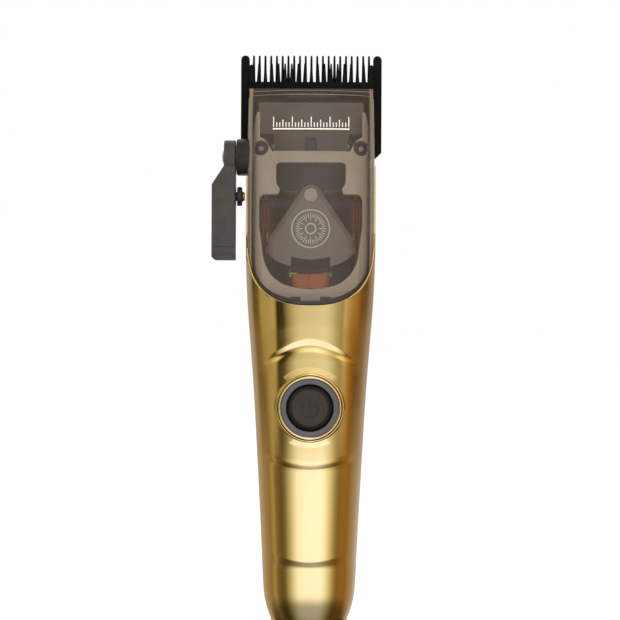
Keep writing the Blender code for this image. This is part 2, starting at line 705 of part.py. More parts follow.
swinging = [armature_plate(), drive_arm(), drive_tip(),
            armature_magnet("armature_magnet_left", -1), armature_magnet("armature_magnet_right", 1)]
carry("armature", PIN_PIVOT, swinging)

sliding = [cutter(), cutter_guide()]
carry("cutter_body", (0, 0, 0), sliding)

lifting = [blade_carrier(), fixed_blade(), blade_screw("blade_screw_left", *BLADE_SCREWS[0]),
           blade_screw("blade_screw_right", *BLADE_SCREWS[1])]
carry("carrier_body", (0, 0, 0), lifting)

turning = [taper_lever(), lever_cam_shaft(), lever_screw()]
carry("lever_body", LEVER_PIVOT, turning)

plunger = detent_plunger()
button = power_button()

smooth(fixed + swinging + sliding + lifting + turning + [plunger, button])
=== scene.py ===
from math import ceil, copysign, cos, pi, radians, sin, sqrt

import bmesh
import bpy
from mathutils import Matrix, Vector


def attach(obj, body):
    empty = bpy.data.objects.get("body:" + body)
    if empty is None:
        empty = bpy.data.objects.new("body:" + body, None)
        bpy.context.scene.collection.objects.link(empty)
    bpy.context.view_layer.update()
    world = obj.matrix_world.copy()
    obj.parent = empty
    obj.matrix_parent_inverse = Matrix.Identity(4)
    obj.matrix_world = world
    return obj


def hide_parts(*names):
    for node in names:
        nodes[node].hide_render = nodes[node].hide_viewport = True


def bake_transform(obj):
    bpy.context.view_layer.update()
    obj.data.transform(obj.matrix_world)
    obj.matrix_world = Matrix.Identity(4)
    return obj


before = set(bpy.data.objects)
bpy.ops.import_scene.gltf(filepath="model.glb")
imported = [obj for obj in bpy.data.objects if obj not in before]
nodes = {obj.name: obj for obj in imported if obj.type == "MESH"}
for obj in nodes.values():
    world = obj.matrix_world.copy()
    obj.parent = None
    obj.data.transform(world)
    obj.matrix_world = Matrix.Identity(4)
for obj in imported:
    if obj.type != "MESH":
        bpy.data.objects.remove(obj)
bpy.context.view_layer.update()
MM = 0.001


# ---- View ---------------------------------------------------------------------------------------
# The clipper stands upright on its foot and is seen square from the front with a long lens, a
# little above the middle of its casing.

VIEW_HEIGHT = 0.1047
VIEW_DISTANCE = 0.62
VIEW_SPAN = 0.2009
LENS_WIDTH = 36.0

lens = bpy.data.cameras.new("view")
lens.sensor_width = LENS_WIDTH
lens.lens = LENS_WIDTH * VIEW_DISTANCE / VIEW_SPAN
camera = bpy.data.objects.new("view", lens)
camera.location = (-0.0001, -VIEW_DISTANCE, VIEW_HEIGHT)
camera.rotation_euler = (pi / 2, radians(-0.27), 0)
bpy.context.scene.collection.objects.link(camera)
bpy.context.scene.camera = camera
bpy.context.scene.view_settings.view_transform = "Standard"


# ---- Studio -------------------------------------------------------------------------------------
# A white sweep with a softbox behind the lens, a soft light overhead, black flags and warm side
# cards. The flags and cards stand all round and are what the polished casing mirrors.

def add(tree, kind, **values):
    """A new shading node of a kind, with values for its named sockets."""
    node = tree.nodes.new("ShaderNode" + kind)
    for socket, value in values.items():
        node.inputs[socket.replace("_", " ")].default_value = value
    return node


def wire(tree, source, output, target, socket):
    """Join a node's output to another node's socket."""
    tree.links.new(source.outputs[output], target.inputs[socket])


def maths(tree, operation, a, b=0.0):
    """The result of a sum, from numbers or from other nodes' outputs."""
    node = add(tree, "Math")
    node.operation = operation
    for socket, value in zip(node.inputs, (a, b)):
        if isinstance(value, (int, float)):
            socket.default_value = value
        else:
            tree.links.new(value, socket)
    return node.outputs[0]


def ramp(tree, factor, stops):
    """A colour that changes along (place, colour) stops."""
    node = add(tree, "ValToRGB")
    elements = node.color_ramp.elements
    elements[0].position = stops[0][0]
    elements[1].position = stops[-1][0]
    for place, _ in stops[1:-1]:
        elements.new(place)
    for element, (_, colour) in zip(elements, stops):
        element.color = (*colour, 1.0)
    tree.links.new(factor, node.inputs[0])
    return node.outputs[0]


def mixed(tree, share, first, second, how="MIX"):
    """Two colours mixed by a share, each a value or another node's output."""
    node = add(tree, "Mix")
    node.data_type = "RGBA"
    node.blend_type = how
    for place, value in ((0, share), (6, first), (7, second)):
        if isinstance(value, (float, tuple)):
            node.inputs[place].default_value = value
        else:
            tree.links.new(value, node.inputs[place])
    return node.outputs[2]


# Angle round from straight ahead, in degrees, and the light that comes from there. The first ring
# of cards stands level with the clipper's head, and the second lower down.
HIGH_CARDS = (
    (-180, (1.0, 0.98, 0.95)), (-170, (0.9, 0.88, 0.85)), (-163, (0.35, 0.33, 0.36)),
    (-145, (0.38, 0.36, 0.42)), (-124, (0.31, 0.26, 0.26)), (-110, (0.07, 0.045, 0.02)),
    (-88, (0.10, 0.07, 0.02)), (-74, (0.36, 0.30, 0.17)), (-44, (0.47, 0.41, 0.24)),
    (-35, (0.30, 0.24, 0.13)), (-28, (0.04, 0.025, 0.01)), (-17, (0.04, 0.03, 0.015)),
    (-10, (0.33, 0.30, 0.20)), (-4, (0.60, 0.58, 0.52)), (4, (0.74, 0.74, 0.76)),
    (9, (0.64, 0.63, 0.60)), (17, (0.42, 0.39, 0.33)), (25, (0.34, 0.30, 0.20)), (36, (0.53, 0.46, 0.33)),
    (52, (0.45, 0.32, 0.16)), (68, (0.30, 0.15, 0.04)), (84, (0.09, 0.04, 0.01)), (106, (0.10, 0.055, 0.03)),
    (124, (0.24, 0.19, 0.15)), (140, (0.31, 0.26, 0.28)), (163, (0.35, 0.33, 0.36)), (170, (0.9, 0.88, 0.85)),
    (180, (1.0, 0.98, 0.95)))
LOW_CARDS = (
    (-180, (1.0, 0.98, 0.95)), (-170, (0.9, 0.88, 0.85)), (-160, (0.42, 0.37, 0.38)),
    (-135, (0.40, 0.34, 0.30)), (-108, (0.32, 0.24, 0.18)), (-80, (0.27, 0.19, 0.09)),
    (-64, (0.36, 0.30, 0.16)), (-50, (0.20, 0.14, 0.07)), (-33, (0.12, 0.085, 0.04)),
    (-24, (0.20, 0.16, 0.08)), (-16, (0.45, 0.42, 0.32)), (-9, (0.78, 0.80, 0.80)),
    (-4, (1.10, 1.15, 1.45)), (4, (1.25, 1.27, 1.75)), (9, (1.0, 1.05, 1.15)), (17, (0.66, 0.61, 0.46)),
    (26, (0.34, 0.27, 0.15)), (36, (0.22, 0.14, 0.045)), (52, (0.27, 0.145, 0.045)), (74, (0.26, 0.14, 0.04)),
    (92, (0.31, 0.22, 0.15)), (120, (0.37, 0.31, 0.33)), (150, (0.50, 0.48, 0.60)), (165, (0.5, 0.48, 0.55)),
    (170, (0.9, 0.88, 0.85)), (180, (1.0, 0.98, 0.95)))
LOW_BELOW, HIGH_ABOVE = -8.5, -2.5     # the low ring fades into the high one between these, in degrees
# Height angle, in degrees, and how strong the light is there
UPWARD = ((-90, 0.45), (-60, 0.3), (-42, 0.35), (-26, 0.95), (-12, 1.0), (2, 1.0), (7, 1.05), (14, 1.5),
          (22, 1.95), (60, 1.6), (90, 1.1))

world = bpy.data.worlds.new("studio")
bpy.context.scene.world = world
world.use_nodes = True
studio = world.node_tree
studio.nodes.clear()
parts = add(studio, "SeparateXYZ")
wire(studio, add(studio, "TexCoord"), "Generated", parts, 0)
forward = maths(studio, "MULTIPLY", parts.outputs[1], -1.0)
turn = maths(studio, "ARCTAN2", parts.outputs[0], forward)
around = maths(studio, "ADD", maths(studio, "DIVIDE", turn, 2 * pi), 0.5)
rise = maths(studio, "ADD", maths(studio, "DIVIDE", maths(studio, "ARCSINE", parts.outputs[2]), pi), 0.5)
high_cards, low_cards = (ramp(studio, around, [((a + 180) / 360, c) for a, c in ring])
                         for ring in (HIGH_CARDS, LOW_CARDS))
height = add(studio, "MapRange", From_Min=(LOW_BELOW + 90) / 180, From_Max=(HIGH_ABOVE + 90) / 180)
studio.links.new(rise, height.inputs["Value"])
cards = mixed(studio, height.outputs[0], low_cards, high_cards)
level = ramp(studio, rise, [((a + 90) / 180, (v, v, v)) for a, v in UPWARD])
surround = add(studio, "Background", Strength=1.0)
studio.links.new(mixed(studio, 1.0, cards, level, "MULTIPLY"), surround.inputs["Color"])
sweep = add(studio, "Background", Color=(1, 1, 1, 1), Strength=1.0)
either = add(studio, "MixShader")
wire(studio, add(studio, "LightPath"), "Is Camera Ray", either, 0)
wire(studio, surround, 0, either, 1)
wire(studio, sweep, 0, either, 2)
wire(studio, either, 0, add(studio, "OutputWorld"), 0)

# Place, aim height, width and power of the softboxes. They light the matt surfaces only.
SOFTBOXES = {"key": ((0.30, -0.95, 0.60), 0.13, 0.5, 4.6), "fill": ((-0.75, -0.65, 0.25), 0.12, 0.5, 2.6),
             "back": ((0.25, 0.95, 0.55), 0.10, 0.5, 5.0)}
for name, (stand, aim, width, power) in SOFTBOXES.items():
    light = bpy.data.lights.new(name, "AREA")
    light.size = width
    light.energy = power
    softbox = bpy.data.objects.new(name, light)
    softbox.location = stand
    softbox.rotation_euler = (Vector((0, 0, aim)) - Vector(stand)).to_track_quat("-Z", "Y").to_euler()
    softbox.visible_glossy = False
    bpy.context.scene.collection.objects.link(softbox)


def new_look(name, **values):
    """A new material, its node tree and its shader, with values for the shader's named sockets."""
    look = bpy.data.materials.new(name)
    look.use_nodes = True
    shader = look.node_tree.nodes["Principled BSDF"]
    for socket, value in values.items():
        shader.inputs[socket.replace("_", " ")].default_value = value
    return look, look.node_tree, shader


floor_mesh = bpy.data.meshes.new("floor")
bm = bmesh.new()
bmesh.ops.create_circle(bm, cap_ends=True, segments=64, radius=3.0)
bmesh.ops.translate(bm, verts=bm.verts, vec=(0, 0, -0.0001))
bm.to_mesh(floor_mesh)
bm.free()
floor = bpy.data.objects.new("floor", floor_mesh)
bpy.context.scene.collection.objects.link(floor)
floor_look, _, _ = new_look("floor", Base_Color=(0.2, 0.2, 0.2, 1), Roughness=0.9,
                            Emission_Color=(1, 1, 1, 1), Emission_Strength=0.9)
floor.visible_glossy = False
floor_mesh.materials.append(floor_look)


# ---- Casing, front half -------------------------------------------------------------------------
# A die-cast zinc shell, polished and plated gold. It has a raised middle with an arched ledge
# above the button and a bowed one below, and a bowed edge again above the foot. The lid's seat is
# a rounded U cut out of its top, and the button stands in a round hole.

# Height, half width, depth to the front, depth to the rear, in millimetres
CASING = (
    (0.0, 10.5, 8.0, 8.0), (1.4, 11.3, 9.2, 9.0), (5.0, 12.3, 10.8, 10.2), (9.0, 13.7, 12.6, 11.4),
    (14.0, 14.7, 13.9, 12.5), (27.0, 15.4, 15.3, 13.5), (43.0, 16.2, 16.0, 13.8),
    (59.0, 17.1, 16.6, 14.0), (76.0, 18.05, 17.0, 14.2), (92.0, 19.2, 17.3, 14.8),
    (106.0, 20.3, 17.8, 15.6), (119.0, 20.9, 18.3, 16.5), (133.0, 21.05, 18.3, 17.0),
    (140.0, 21.05, 17.6, 16.2), (146.0, 21.05, 16.8, 13.8), (152.0, 21.0, 15.6, 10.2),
    (160.0, 20.9, 13.0, 9.2), (168.0, 20.7, 8.8, 8.4), (173.0, 20.6, 5.0, 7.9), (176.3, 20.5, 1.9, 7.5))
SQUARENESS = 3.2
SEAM = 0.15                    # half the gap between the two halves
WALL = 1.4
BOW_REACH = 13.3               # the bowed edges level out beyond this distance from the middle
FADE = (10.5, 15.0)            # the raised middle runs out between these distances
CUT = 60.0                     # length of a cutter that goes right through

# Height at the middle, rise of the edge at the sides, how far the whole row is sunk, and how far
# its middle stands proud of that
FRONT_EDGES = (
    (6.0, 0, 0.5, 0), (22.6, 0, 0.62, 0), (22.8, 0, 0.65, 0), (24.7, 3.9, 0.04, 0), (24.9, 4.0, 0, 0),
    (25.2, 4.0, 0, 0), (37.0, 3.7, 0, 0), (53.9, 3.4, 0, 0), (54.5, 3.4, 0, 0.1), (55.4, 3.4, 0, 0.5),
    (56.1, 3.4, 0, 0.55), (73.0, 0, 0.1, 0.45), (87.0, -2.0, 0.4, 0.63), (90.4, -3.8, 0.4, 0.60),
    (91.2, -4.2, 0.4, 0.555), (92.0, -4.6, 0.4, 0.44), (95.4, -6.0, 0.4, -0.53), (95.6, -6.0, 0.4, -0.53),
    (101.0, -3.4, 0.45, -0.48), (107.0, 0, 0.6, -0.35), (116.0, 0, 0.6, 0), (128.0, 0, 0.45, 0),
    (141.0, 0, 0, 0))
REAR_EDGES = [(z, 0, sunk, 0) for z, sunk in (
    (6.0, 0), (20.2, 0), (20.7, 0.35), (21.2, 0), (53.2, 0), (53.7, 0.35), (54.2, 0), (92.2, 0), (92.7, 0.35),
    (93.2, 0), (151.5, 0))]


def casing_at(z):
    """Half width and depths at a height, on a smooth curve through the table."""
    z = min(max(z, CASING[0][0]), CASING[-1][0])
    i = max(k for k in range(len(CASING) - 1) if CASING[k][0] <= z)
    a, b = CASING[i], CASING[i + 1]
    before, after = CASING[max(i - 1, 0)], CASING[min(i + 2, len(CASING) - 1)]
    span = b[0] - a[0]
    t = (z - a[0]) / span
    values = []
    for p, q, r, s in zip(before[1:], a[1:], b[1:], after[1:]):
        slope_a = (r - p) / (b[0] - before[0]) * span
        slope_b = (s - q) / (after[0] - a[0]) * span
        if (q - p) * (r - q) <= 0:
            slope_a = 0
        if (r - q) * (s - r) <= 0:
            slope_b = 0
        values.append((2 * t**3 - 3 * t**2 + 1) * q + (t**3 - 2 * t**2 + t) * slope_a
                      + (3 * t**2 - 2 * t**3) * r + (t**3 - t**2) * slope_b)
    return values


def rounded(turn, width, depth):
    """A point of the casing's section: a squared-off oval, from its angle round."""
    c, s = cos(turn), sin(turn)
    reach = ((abs(c) / width) ** SQUARENESS + (abs(s) / depth) ** SQUARENESS) ** (-1 / SQUARENESS)
    return reach * c, reach * s


def faded(x):
    """How much of the raised middle's height is left at a distance from the middle."""
    t = min(max((abs(x) - FADE[0]) / (FADE[1] - FADE[0]), 0.0), 1.0)
    return 1 - t * t * (3 - 2 * t)


def fine_edges(edges, step):
    """Add levels between the listed edges, no further apart than a step."""
    levels = [edges[0]]
    for a, b in zip(edges, edges[1:]):
        count = max(1, ceil((b[0] - a[0]) / step))
        levels += [tuple(p + (q - p) * k / count for p, q in zip(a, b)) for k in range(1, count + 1)]
    return levels


def half_shell(edges, front, columns=120, step=1.2):
    """The front or rear skin of the casing: a level line across it, extruded up from edge to edge."""
    start, end = (pi, 2 * pi) if front else (0, pi)
    bm = bmesh.new()
    row = None
    for z0, bow, sunk, proud in fine_edges(edges, step):
        lean = SEAM / casing_at(z0)[0]
        angles = [start + lean + (end - start - 2 * lean) * k / columns for k in range(columns + 1)]
        points = []
        for angle in angles:
            across = casing_at(z0)[0] * cos(angle)
            z = z0 + bow * min(1.0, (across / BOW_REACH) ** 2)
            width, to_front, to_rear = casing_at(z)
            x, y = rounded(angle, width, (to_front if front else to_rear) - sunk)
            y += copysign(proud * faded(x), y)
            points.append(Vector((x, y, z)) * MM)
        if row is None:
            row = [bm.verts.new(p) for p in points]
            edges_now = [bm.edges.new(pair) for pair in zip(row, row[1:])]
            continue
        grown = bmesh.ops.extrude_edge_only(bm, edges=edges_now)["geom"]
        fresh = {v.co.copy().freeze(): v for v in grown if isinstance(v, bmesh.types.BMVert)}
        row = [fresh[v.co.copy().freeze()] for v in row]
        on_edge = set(row)
        edges_now = [e for e in grown if isinstance(e, bmesh.types.BMEdge)
                     and e.verts[0] in on_edge and e.verts[1] in on_edge]
        for vert, point in zip(row, points):
            vert.co = point
    return bm


def outward(bm, front):
    """Point an open skin's faces away from the casing's middle line."""
    bmesh.ops.recalc_face_normals(bm, faces=bm.faces)
    lean = sum(f.normal.y * f.calc_area() for f in bm.faces)
    if (lean > 0) == front:
        bmesh.ops.reverse_faces(bm, faces=bm.faces)


def shade(piece, angle=30):
    """Shade a piece smooth, but for the edges sharper than an angle."""
    piece.data.shade_smooth()
    piece.data.set_sharp_from_angle(angle=radians(angle))


def keep(name, bm, look, smooth=None):
    """Store a mesh as a piece of the scene."""
    mesh = bpy.data.meshes.new(name)
    bm.to_mesh(mesh)
    bm.free()
    piece = bpy.data.objects.new(name, mesh)
    bpy.context.scene.collection.objects.link(piece)
    mesh.materials.append(look)
    if smooth is not None:
        shade(piece, smooth)
    return piece


def prism(outline, axis, low, high):
    """A straight block from its outline across an axis, in millimetres."""
    def at(along, u, v):
        return Vector({"X": (along, u, v), "Y": (u, along, v), "Z": (u, v, along)}[axis]) * MM
    bm = bmesh.new()
    face = bm.faces.new([bm.verts.new(at(low, u, v)) for u, v in outline])
    grown = bmesh.ops.extrude_face_region(bm, geom=[face])["geom"]
    moved = [g for g in grown if isinstance(g, bmesh.types.BMVert)]
    bmesh.ops.translate(bm, verts=moved, vec=at(high - low, 0, 0))
    bmesh.ops.recalc_face_normals(bm, faces=bm.faces)
    return bm


def box(u0, u1, v0, v1, axis, low, high):
    """A rectangular block, from its limits across, up and along an axis."""
    return prism(((u0, v0), (u1, v0), (u1, v1), (u0, v1)), axis, low, high)


def ring_points(u, v, radius, count, start=0.0, end=360.0):
    """Points round a circle, or along an arc of it in degrees."""
    turns = [radians(start + (end - start) * k / count) for k in range(count + (end - start < 360))]
    return [(u + radius * cos(a), v + radius * sin(a)) for a in turns]


def round_bar(u, v, radius, count, axis, low, high):
    """A straight bar of round section along an axis."""
    return prism(ring_points(u, v, radius, count), axis, low, high)


def carve(piece, tools, operation="DIFFERENCE"):
    """Cut a closed piece with tools that are then thrown away, and keep the result as its mesh."""
    cutters = []
    for bm in tools:
        mesh = bpy.data.meshes.new("tool")
        bm.to_mesh(mesh)
        bm.free()
        cutter = bpy.data.objects.new("tool", mesh)
        bpy.context.scene.collection.objects.link(cutter)
        cutters.append(cutter)
        modifier = piece.modifiers.new("carve", "BOOLEAN")
        modifier.operation = operation
        modifier.object = cutter
    settle(piece)
    for cutter in cutters:
        bpy.data.meshes.remove(cutter.data)


def settle(piece):
    """Apply a piece's modifiers."""
    done = bpy.data.meshes.new_from_object(piece.evaluated_get(bpy.context.evaluated_depsgraph_get()))
    old = piece.data
    piece.modifiers.clear()
    piece.data = done
    bpy.data.meshes.remove(old)


def thicken(piece, wall):
    """Give a skin its wall, inwards."""
    modifier = piece.modifiers.new("wall", "SOLIDIFY")
    modifier.thickness = wall * MM
    modifier.offset = -1
    modifier.use_even_offset = True
    settle(piece)


def gloss(tree, shader, pattern, low, high):
    """Let a pattern vary the roughness between two values."""
    spread = add(tree, "MapRange", From_Min=0.3, From_Max=0.7, To_Min=low, To_Max=high)
    tree.links.new(pattern, spread.inputs["Value"])
    wire(tree, spread, 0, shader, "Roughness")


def relief(tree, shader, pattern, grain, depth):
    """Raise fine grain from a pattern."""
    bump = add(tree, "Bump", Strength=grain, Distance=depth)
    tree.links.new(pattern, bump.inputs["Height"])
    wire(tree, bump, 0, shader, "Normal")


def plated(name, colour, low, high, grain=0.02):
    """Polished plating: a metal whose gloss varies a little in fine clouds and rubbed streaks."""
    look, tree, shader = new_look(name, Base_Color=(*colour, 1), Metallic=1.0)
    place = add(tree, "TexCoord")
    stretch = add(tree, "Mapping", Scale=(900, 900, 120))
    cloud = add(tree, "TexNoise", Scale=60, Detail=4)
    streak = add(tree, "TexNoise", Scale=1.0, Detail=3)
    wire(tree, place, "Object", cloud, "Vector")
    wire(tree, place, "Object", stretch, 0)
    wire(tree, stretch, 0, streak, "Vector")
    both = maths(tree, "ADD", maths(tree, "MULTIPLY", cloud.outputs[0], 0.6),
                 maths(tree, "MULTIPLY", streak.outputs[0], 0.4))
    gloss(tree, shader, both, low, high)
    relief(tree, shader, streak.outputs[0], grain, 0.0002)
    return look


gold = plated("gold", (1.0, 0.765, 0.33), 0.07, 0.12, 0.01)

# The lid's U: its centre's height, half width, drop and squareness, in millimetres
LID_CENTRE, LID_HALF_WIDTH, LID_DROP, LID_SQUARENESS = 128.0, 20.2, 21.9, 2.6
BUTTON_Z = 73.8


def lid_curve(side, drop, steps=48):
    """The lid's U from left to right, drawn in at its sides and at its foot."""
    power = 2 / LID_SQUARENESS
    curve = []
    for k in range(steps + 1):
        c, s = -cos(pi * k / steps), sin(pi * k / steps)
        x = (LID_HALF_WIDTH - side) * abs(c) ** power * (1 if c > 0 else -1)
        curve.append((x, LID_CENTRE - (LID_DROP - drop) * abs(s) ** power))
    return curve


def lid_outline(gap):
    """A closed outline of the lid's opening, smaller all round by a gap."""
    return lid_curve(gap, gap) + [(26.0, 140.0 + gap), (26.0, 200.0), (-26.0, 200.0), (-26.0, 140.0 + gap)]


bm = half_shell(FRONT_EDGES, True)
outward(bm, True)
front = keep("front_shell", bm, gold)
thicken(front, WALL)
carve(front, [prism(lid_outline(0), "Y", -CUT, CUT), round_bar(0, BUTTON_Z, 10.35, 72, "Y", -30, -10)])


# ---- Lid seat bead ------------------------------------------------------------------------------
# A fine rolled bead that edges the lid's seat all the way round the U. It belongs to the front
# casting and catches the light as a bright line.

def front_y(x, z, sunk=0.0, inset=0.0):
    """The casing's front surface over a point of the front view."""
    width, depth, _ = casing_at(z)
    ratio = min(abs(x) / (width - inset), 0.9999)
    return -(depth - sunk - inset) * (1 - ratio ** SQUARENESS) ** (1 / SQUARENESS)


def tube(name, points, radius, look, sides=8):
    """A round bar along points given in millimetres."""
    path = bpy.data.curves.new(name, "CURVE")
    path.dimensions = "3D"
    path.bevel_depth = radius * MM
    path.bevel_resolution = max(0, sides // 4 - 1)
    path.use_fill_caps = True
    spline = path.splines.new("POLY")
    spline.points.add(len(points) - 1)
    for point, at in zip(spline.points, points):
        point.co = (*(Vector(at) * MM), 1.0)
    bar = bpy.data.objects.new(name, path)
    bpy.context.scene.collection.objects.link(bar)
    mesh = bpy.data.meshes.new_from_object(bar.evaluated_get(bpy.context.evaluated_depsgraph_get()))
    bpy.data.objects.remove(bar)
    mesh.name = name
    mesh.materials.clear()
    mesh.materials.append(look)
    mesh.shade_smooth()
    piece = bpy.data.objects.new(name, mesh)
    bpy.context.scene.collection.objects.link(piece)
    return piece


def casing_sunk(x, z):
    """How far the front casting is sunk over a point of the front view, where its edges are level."""
    for a, b in zip(FRONT_EDGES, FRONT_EDGES[1:]):
        if a[0] <= z <= b[0]:
            t = (z - a[0]) / (b[0] - a[0])
            return a[2] + (b[2] - a[2]) * t - (a[3] + (b[3] - a[3]) * t) * faded(x)
    return 0.0


bead_gold = plated("bead_gold", (1.0, 0.80, 0.45), 0.1, 0.16)
seat = [(x, front_y(x, z, casing_sunk(x, z)) + 0.05, z) for x, z in lid_curve(-0.12, -0.12, 96)]
seat = [p for p in seat if abs(p[0]) < 20.25]
bead = tube("lid_seat_bead", seat, 0.38, bead_gold, 8)
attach(bead, "housing")


# ---- Button seat --------------------------------------------------------------------------------
# A low turned cone of the casting that rises from the casing to the button's bezel.

def turned(profile, axis, u, v, steps=64):
    """Turn (distance along, radius) points, in millimetres, about an axis into a closed piece."""
    def at(along, r):
        return Vector({"X": (along, u + r, v), "Y": (u + r, along, v), "Z": (u + r, v, along)}[axis]) * MM
    bm = bmesh.new()
    verts = [bm.verts.new(at(along, r)) for along, r in profile]
    pairs = list(zip(verts, verts[1:]))
    if min(r for _, r in profile) > 0:
        pairs.append((verts[-1], verts[0]))
    edges = [bm.edges.new(pair) for pair in pairs]
    centre = {"X": (0, u, v), "Y": (u, 0, v), "Z": (u, v, 0)}[axis]
    along = {"X": (1, 0, 0), "Y": (0, 1, 0), "Z": (0, 0, 1)}[axis]
    bmesh.ops.spin(bm, geom=verts + edges, cent=Vector(centre) * MM, axis=along, angle=2 * pi, steps=steps,
                   use_merge=True)
    bmesh.ops.remove_doubles(bm, verts=bm.verts, dist=1e-6)
    bmesh.ops.recalc_face_normals(bm, faces=bm.faces)
    return bm


# The casing is dished round the button
DISH_RADIUS, DISH_RIM, DISH_MIDDLE = 12.8, -16.95, -17.25
dish = turned(((-30, 0), (-30, DISH_RADIUS), (DISH_RIM, DISH_RADIUS), (DISH_MIDDLE, 10.0), (DISH_MIDDLE, 0)),
              "Y", 0, BUTTON_Z, 96)
carve(front, [dish])
shade(front, 32)
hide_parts("front_housing")
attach(front, "housing")

seat_profile = ((-15.4, 10.3), (-17.35, 10.3), (-17.45, 10.4), (-17.45, 10.6), (-17.3, 10.85), (-16.6, 11.2),
                (-15.4, 11.2))
button_seat = keep("button_seat", turned(seat_profile, "Y", 0, BUTTON_Z, 96), gold, 35)
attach(button_seat, "housing")


# ---- Casing, rear half, and base cap -------------------------------------------------------------
# The back of the casing is the same gold-plated casting, with three fine grooves that carry the
# front's edges round. It closes up to the blade at the top, where the lever's boss passes through.

LEVER_Y, LEVER_Z = -1.0, 154.0
REAR_SCREWS = {"rear_screw_lower_left": (-6.5, 11.5), "rear_screw_lower_right": (6.5, 11.5),
               "rear_screw_upper_left": (-9.0, 90.0), "rear_screw_upper_right": (9.0, 90.0)}

bm = half_shell(REAR_EDGES, False)
outward(bm, False)
rear = keep("rear_shell", bm, gold)
thicken(rear, WALL)
holes = [round_bar(LEVER_Y, LEVER_Z, 6.3, 48, "X", -30, -18)]
holes += [round_bar(x, z, 2.5, 32, "Y", 5, 30) for x, z in REAR_SCREWS.values()]
carve(rear, holes)

# A tongue inside the rear half's edge covers the seam and keeps light out of the casing
TONGUE_HALF, TONGUE_WALL = 1.1, 0.5
for side in (-1, 1):
    heights = [6.5 + 0.5 * (150.0 - 6.5) * (1 - cos(pi * k / 60)) for k in range(61)]
    reach = [casing_at(z)[0] - WALL - 0.02 for z in heights]
    strip = [(side * x, z) for x, z in zip(reach, heights)]
    strip += [(side * (x - TONGUE_WALL), z) for x, z in zip(reversed(reach), reversed(heights))]
    tongue = keep("tongue", prism(strip, "Y", -TONGUE_HALF, TONGUE_HALF), gold)
    whole = bmesh.new()
    whole.from_mesh(rear.data)
    whole.from_mesh(tongue.data)
    whole.to_mesh(rear.data)
    whole.free()
    bpy.data.meshes.remove(tongue.data)
shade(rear, 32)
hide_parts("rear_housing")
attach(rear, "housing")


def ring_levels(rows, columns=120):
    """A closed form through level oval rings: (height, half width, front, rear)."""
    bm = bmesh.new()
    loops = []
    for z, width, to_front, to_rear in rows:
        verts = []
        for k in range(columns):
            angle = 2 * pi * k / columns
            x, y = rounded(angle, width, to_front if angle > pi else to_rear)
            verts.append(bm.verts.new(Vector((x, y, z)) * MM))
        loops.append([bm.edges.new(pair) for pair in zip(verts, verts[1:] + verts[:1])])
        if z in (rows[0][0], rows[-1][0]) and len(loops) in (1, len(rows)):
            bm.faces.new(verts)
    for low, high in zip(loops, loops[1:]):
        bmesh.ops.bridge_loops(bm, edges=low + high)
    bmesh.ops.recalc_face_normals(bm, faces=bm.faces)
    return bm


FOOT = ((0.0, 10.4, 7.9, 7.9), (0.12, 10.75, 8.3, 8.25), (0.5, 11.05, 8.75, 8.6), (1.4, 11.4, 9.3, 9.1),
        (3.0, 11.85, 10.0, 9.7), (5.4, 12.45, 10.95, 10.25), (5.7, 12.3, 10.8, 10.1))
PORT_HALF, PORT_FRONT, PORT_REAR = 4.6, 2.9, 6.1
cap = keep("foot_cap", ring_levels(FOOT), gold)
carve(cap, [ring_levels(((2.6, 10.3, 8.4, 8.2), (9.0, 11.2, 9.6, 9.1))),
            box(-PORT_HALF, PORT_HALF, PORT_FRONT, PORT_REAR, "Z", -3, 4)])
shade(cap, 40)
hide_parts("base_cap")
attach(cap, "housing")


# ---- Lid ----------------------------------------------------------------------------------------
# The see-through cover over the motor, moulded in smoke-brown polycarbonate with a polished skin.
# It drops into the front casting's seat and runs up to the cutter, with a rounded edge all round.

LID_BASE, LID_TOP = 100.0, 176.3
LID_INSET, LID_WALL = 0.5, 1.2
GAP = 0.3
LID_SHOULDER, LID_BACK = 151.8, 2.8


def casing_rows(inset, low, high, step=1.0):
    """Level rings of the casing's form, inset all round, between two heights."""
    count = ceil((high - low) / step)
    rows = []
    for k in range(count + 1):
        z = low + (high - low) * k / count
        rows.append((z,) + tuple(max(size - inset, 0.4) for size in casing_at(z)))
    return rows


def soften(piece, width, segments=2, angle=30):
    """Round off a piece's edges."""
    modifier = piece.modifiers.new("edges", "BEVEL")
    modifier.width = width * MM
    modifier.segments = segments
    modifier.limit_method = "ANGLE"
    modifier.angle_limit = radians(angle)
    modifier.use_clamp_overlap = True
    settle(piece)


def speckled(name, colour, other, low, high, scale=900.0, grain=0.1, metallic=0.0):
    """A moulded or cast finish: fine grain, with cloudy changes of colour and gloss."""
    look, tree, shader = new_look(name, Metallic=metallic)
    place = add(tree, "TexCoord")
    cloud = add(tree, "TexNoise", Scale=scale / 8, Detail=5)
    fine = add(tree, "TexNoise", Scale=scale, Detail=2)
    wire(tree, place, "Object", cloud, "Vector")
    wire(tree, place, "Object", fine, "Vector")
    tint = ramp(tree, cloud.outputs[0], ((0.35, colour), (0.65, other)))
    tree.links.new(tint, shader.inputs["Base Color"])
    gloss(tree, shader, cloud.outputs[0], low, high)
    relief(tree, shader, fine.outputs[0], grain, 0.00005)
    return look


smoke = speckled("smoke_brown", (0.115, 0.094, 0.085), (0.125, 0.102, 0.093), 0.08, 0.14, 90, 0.01)

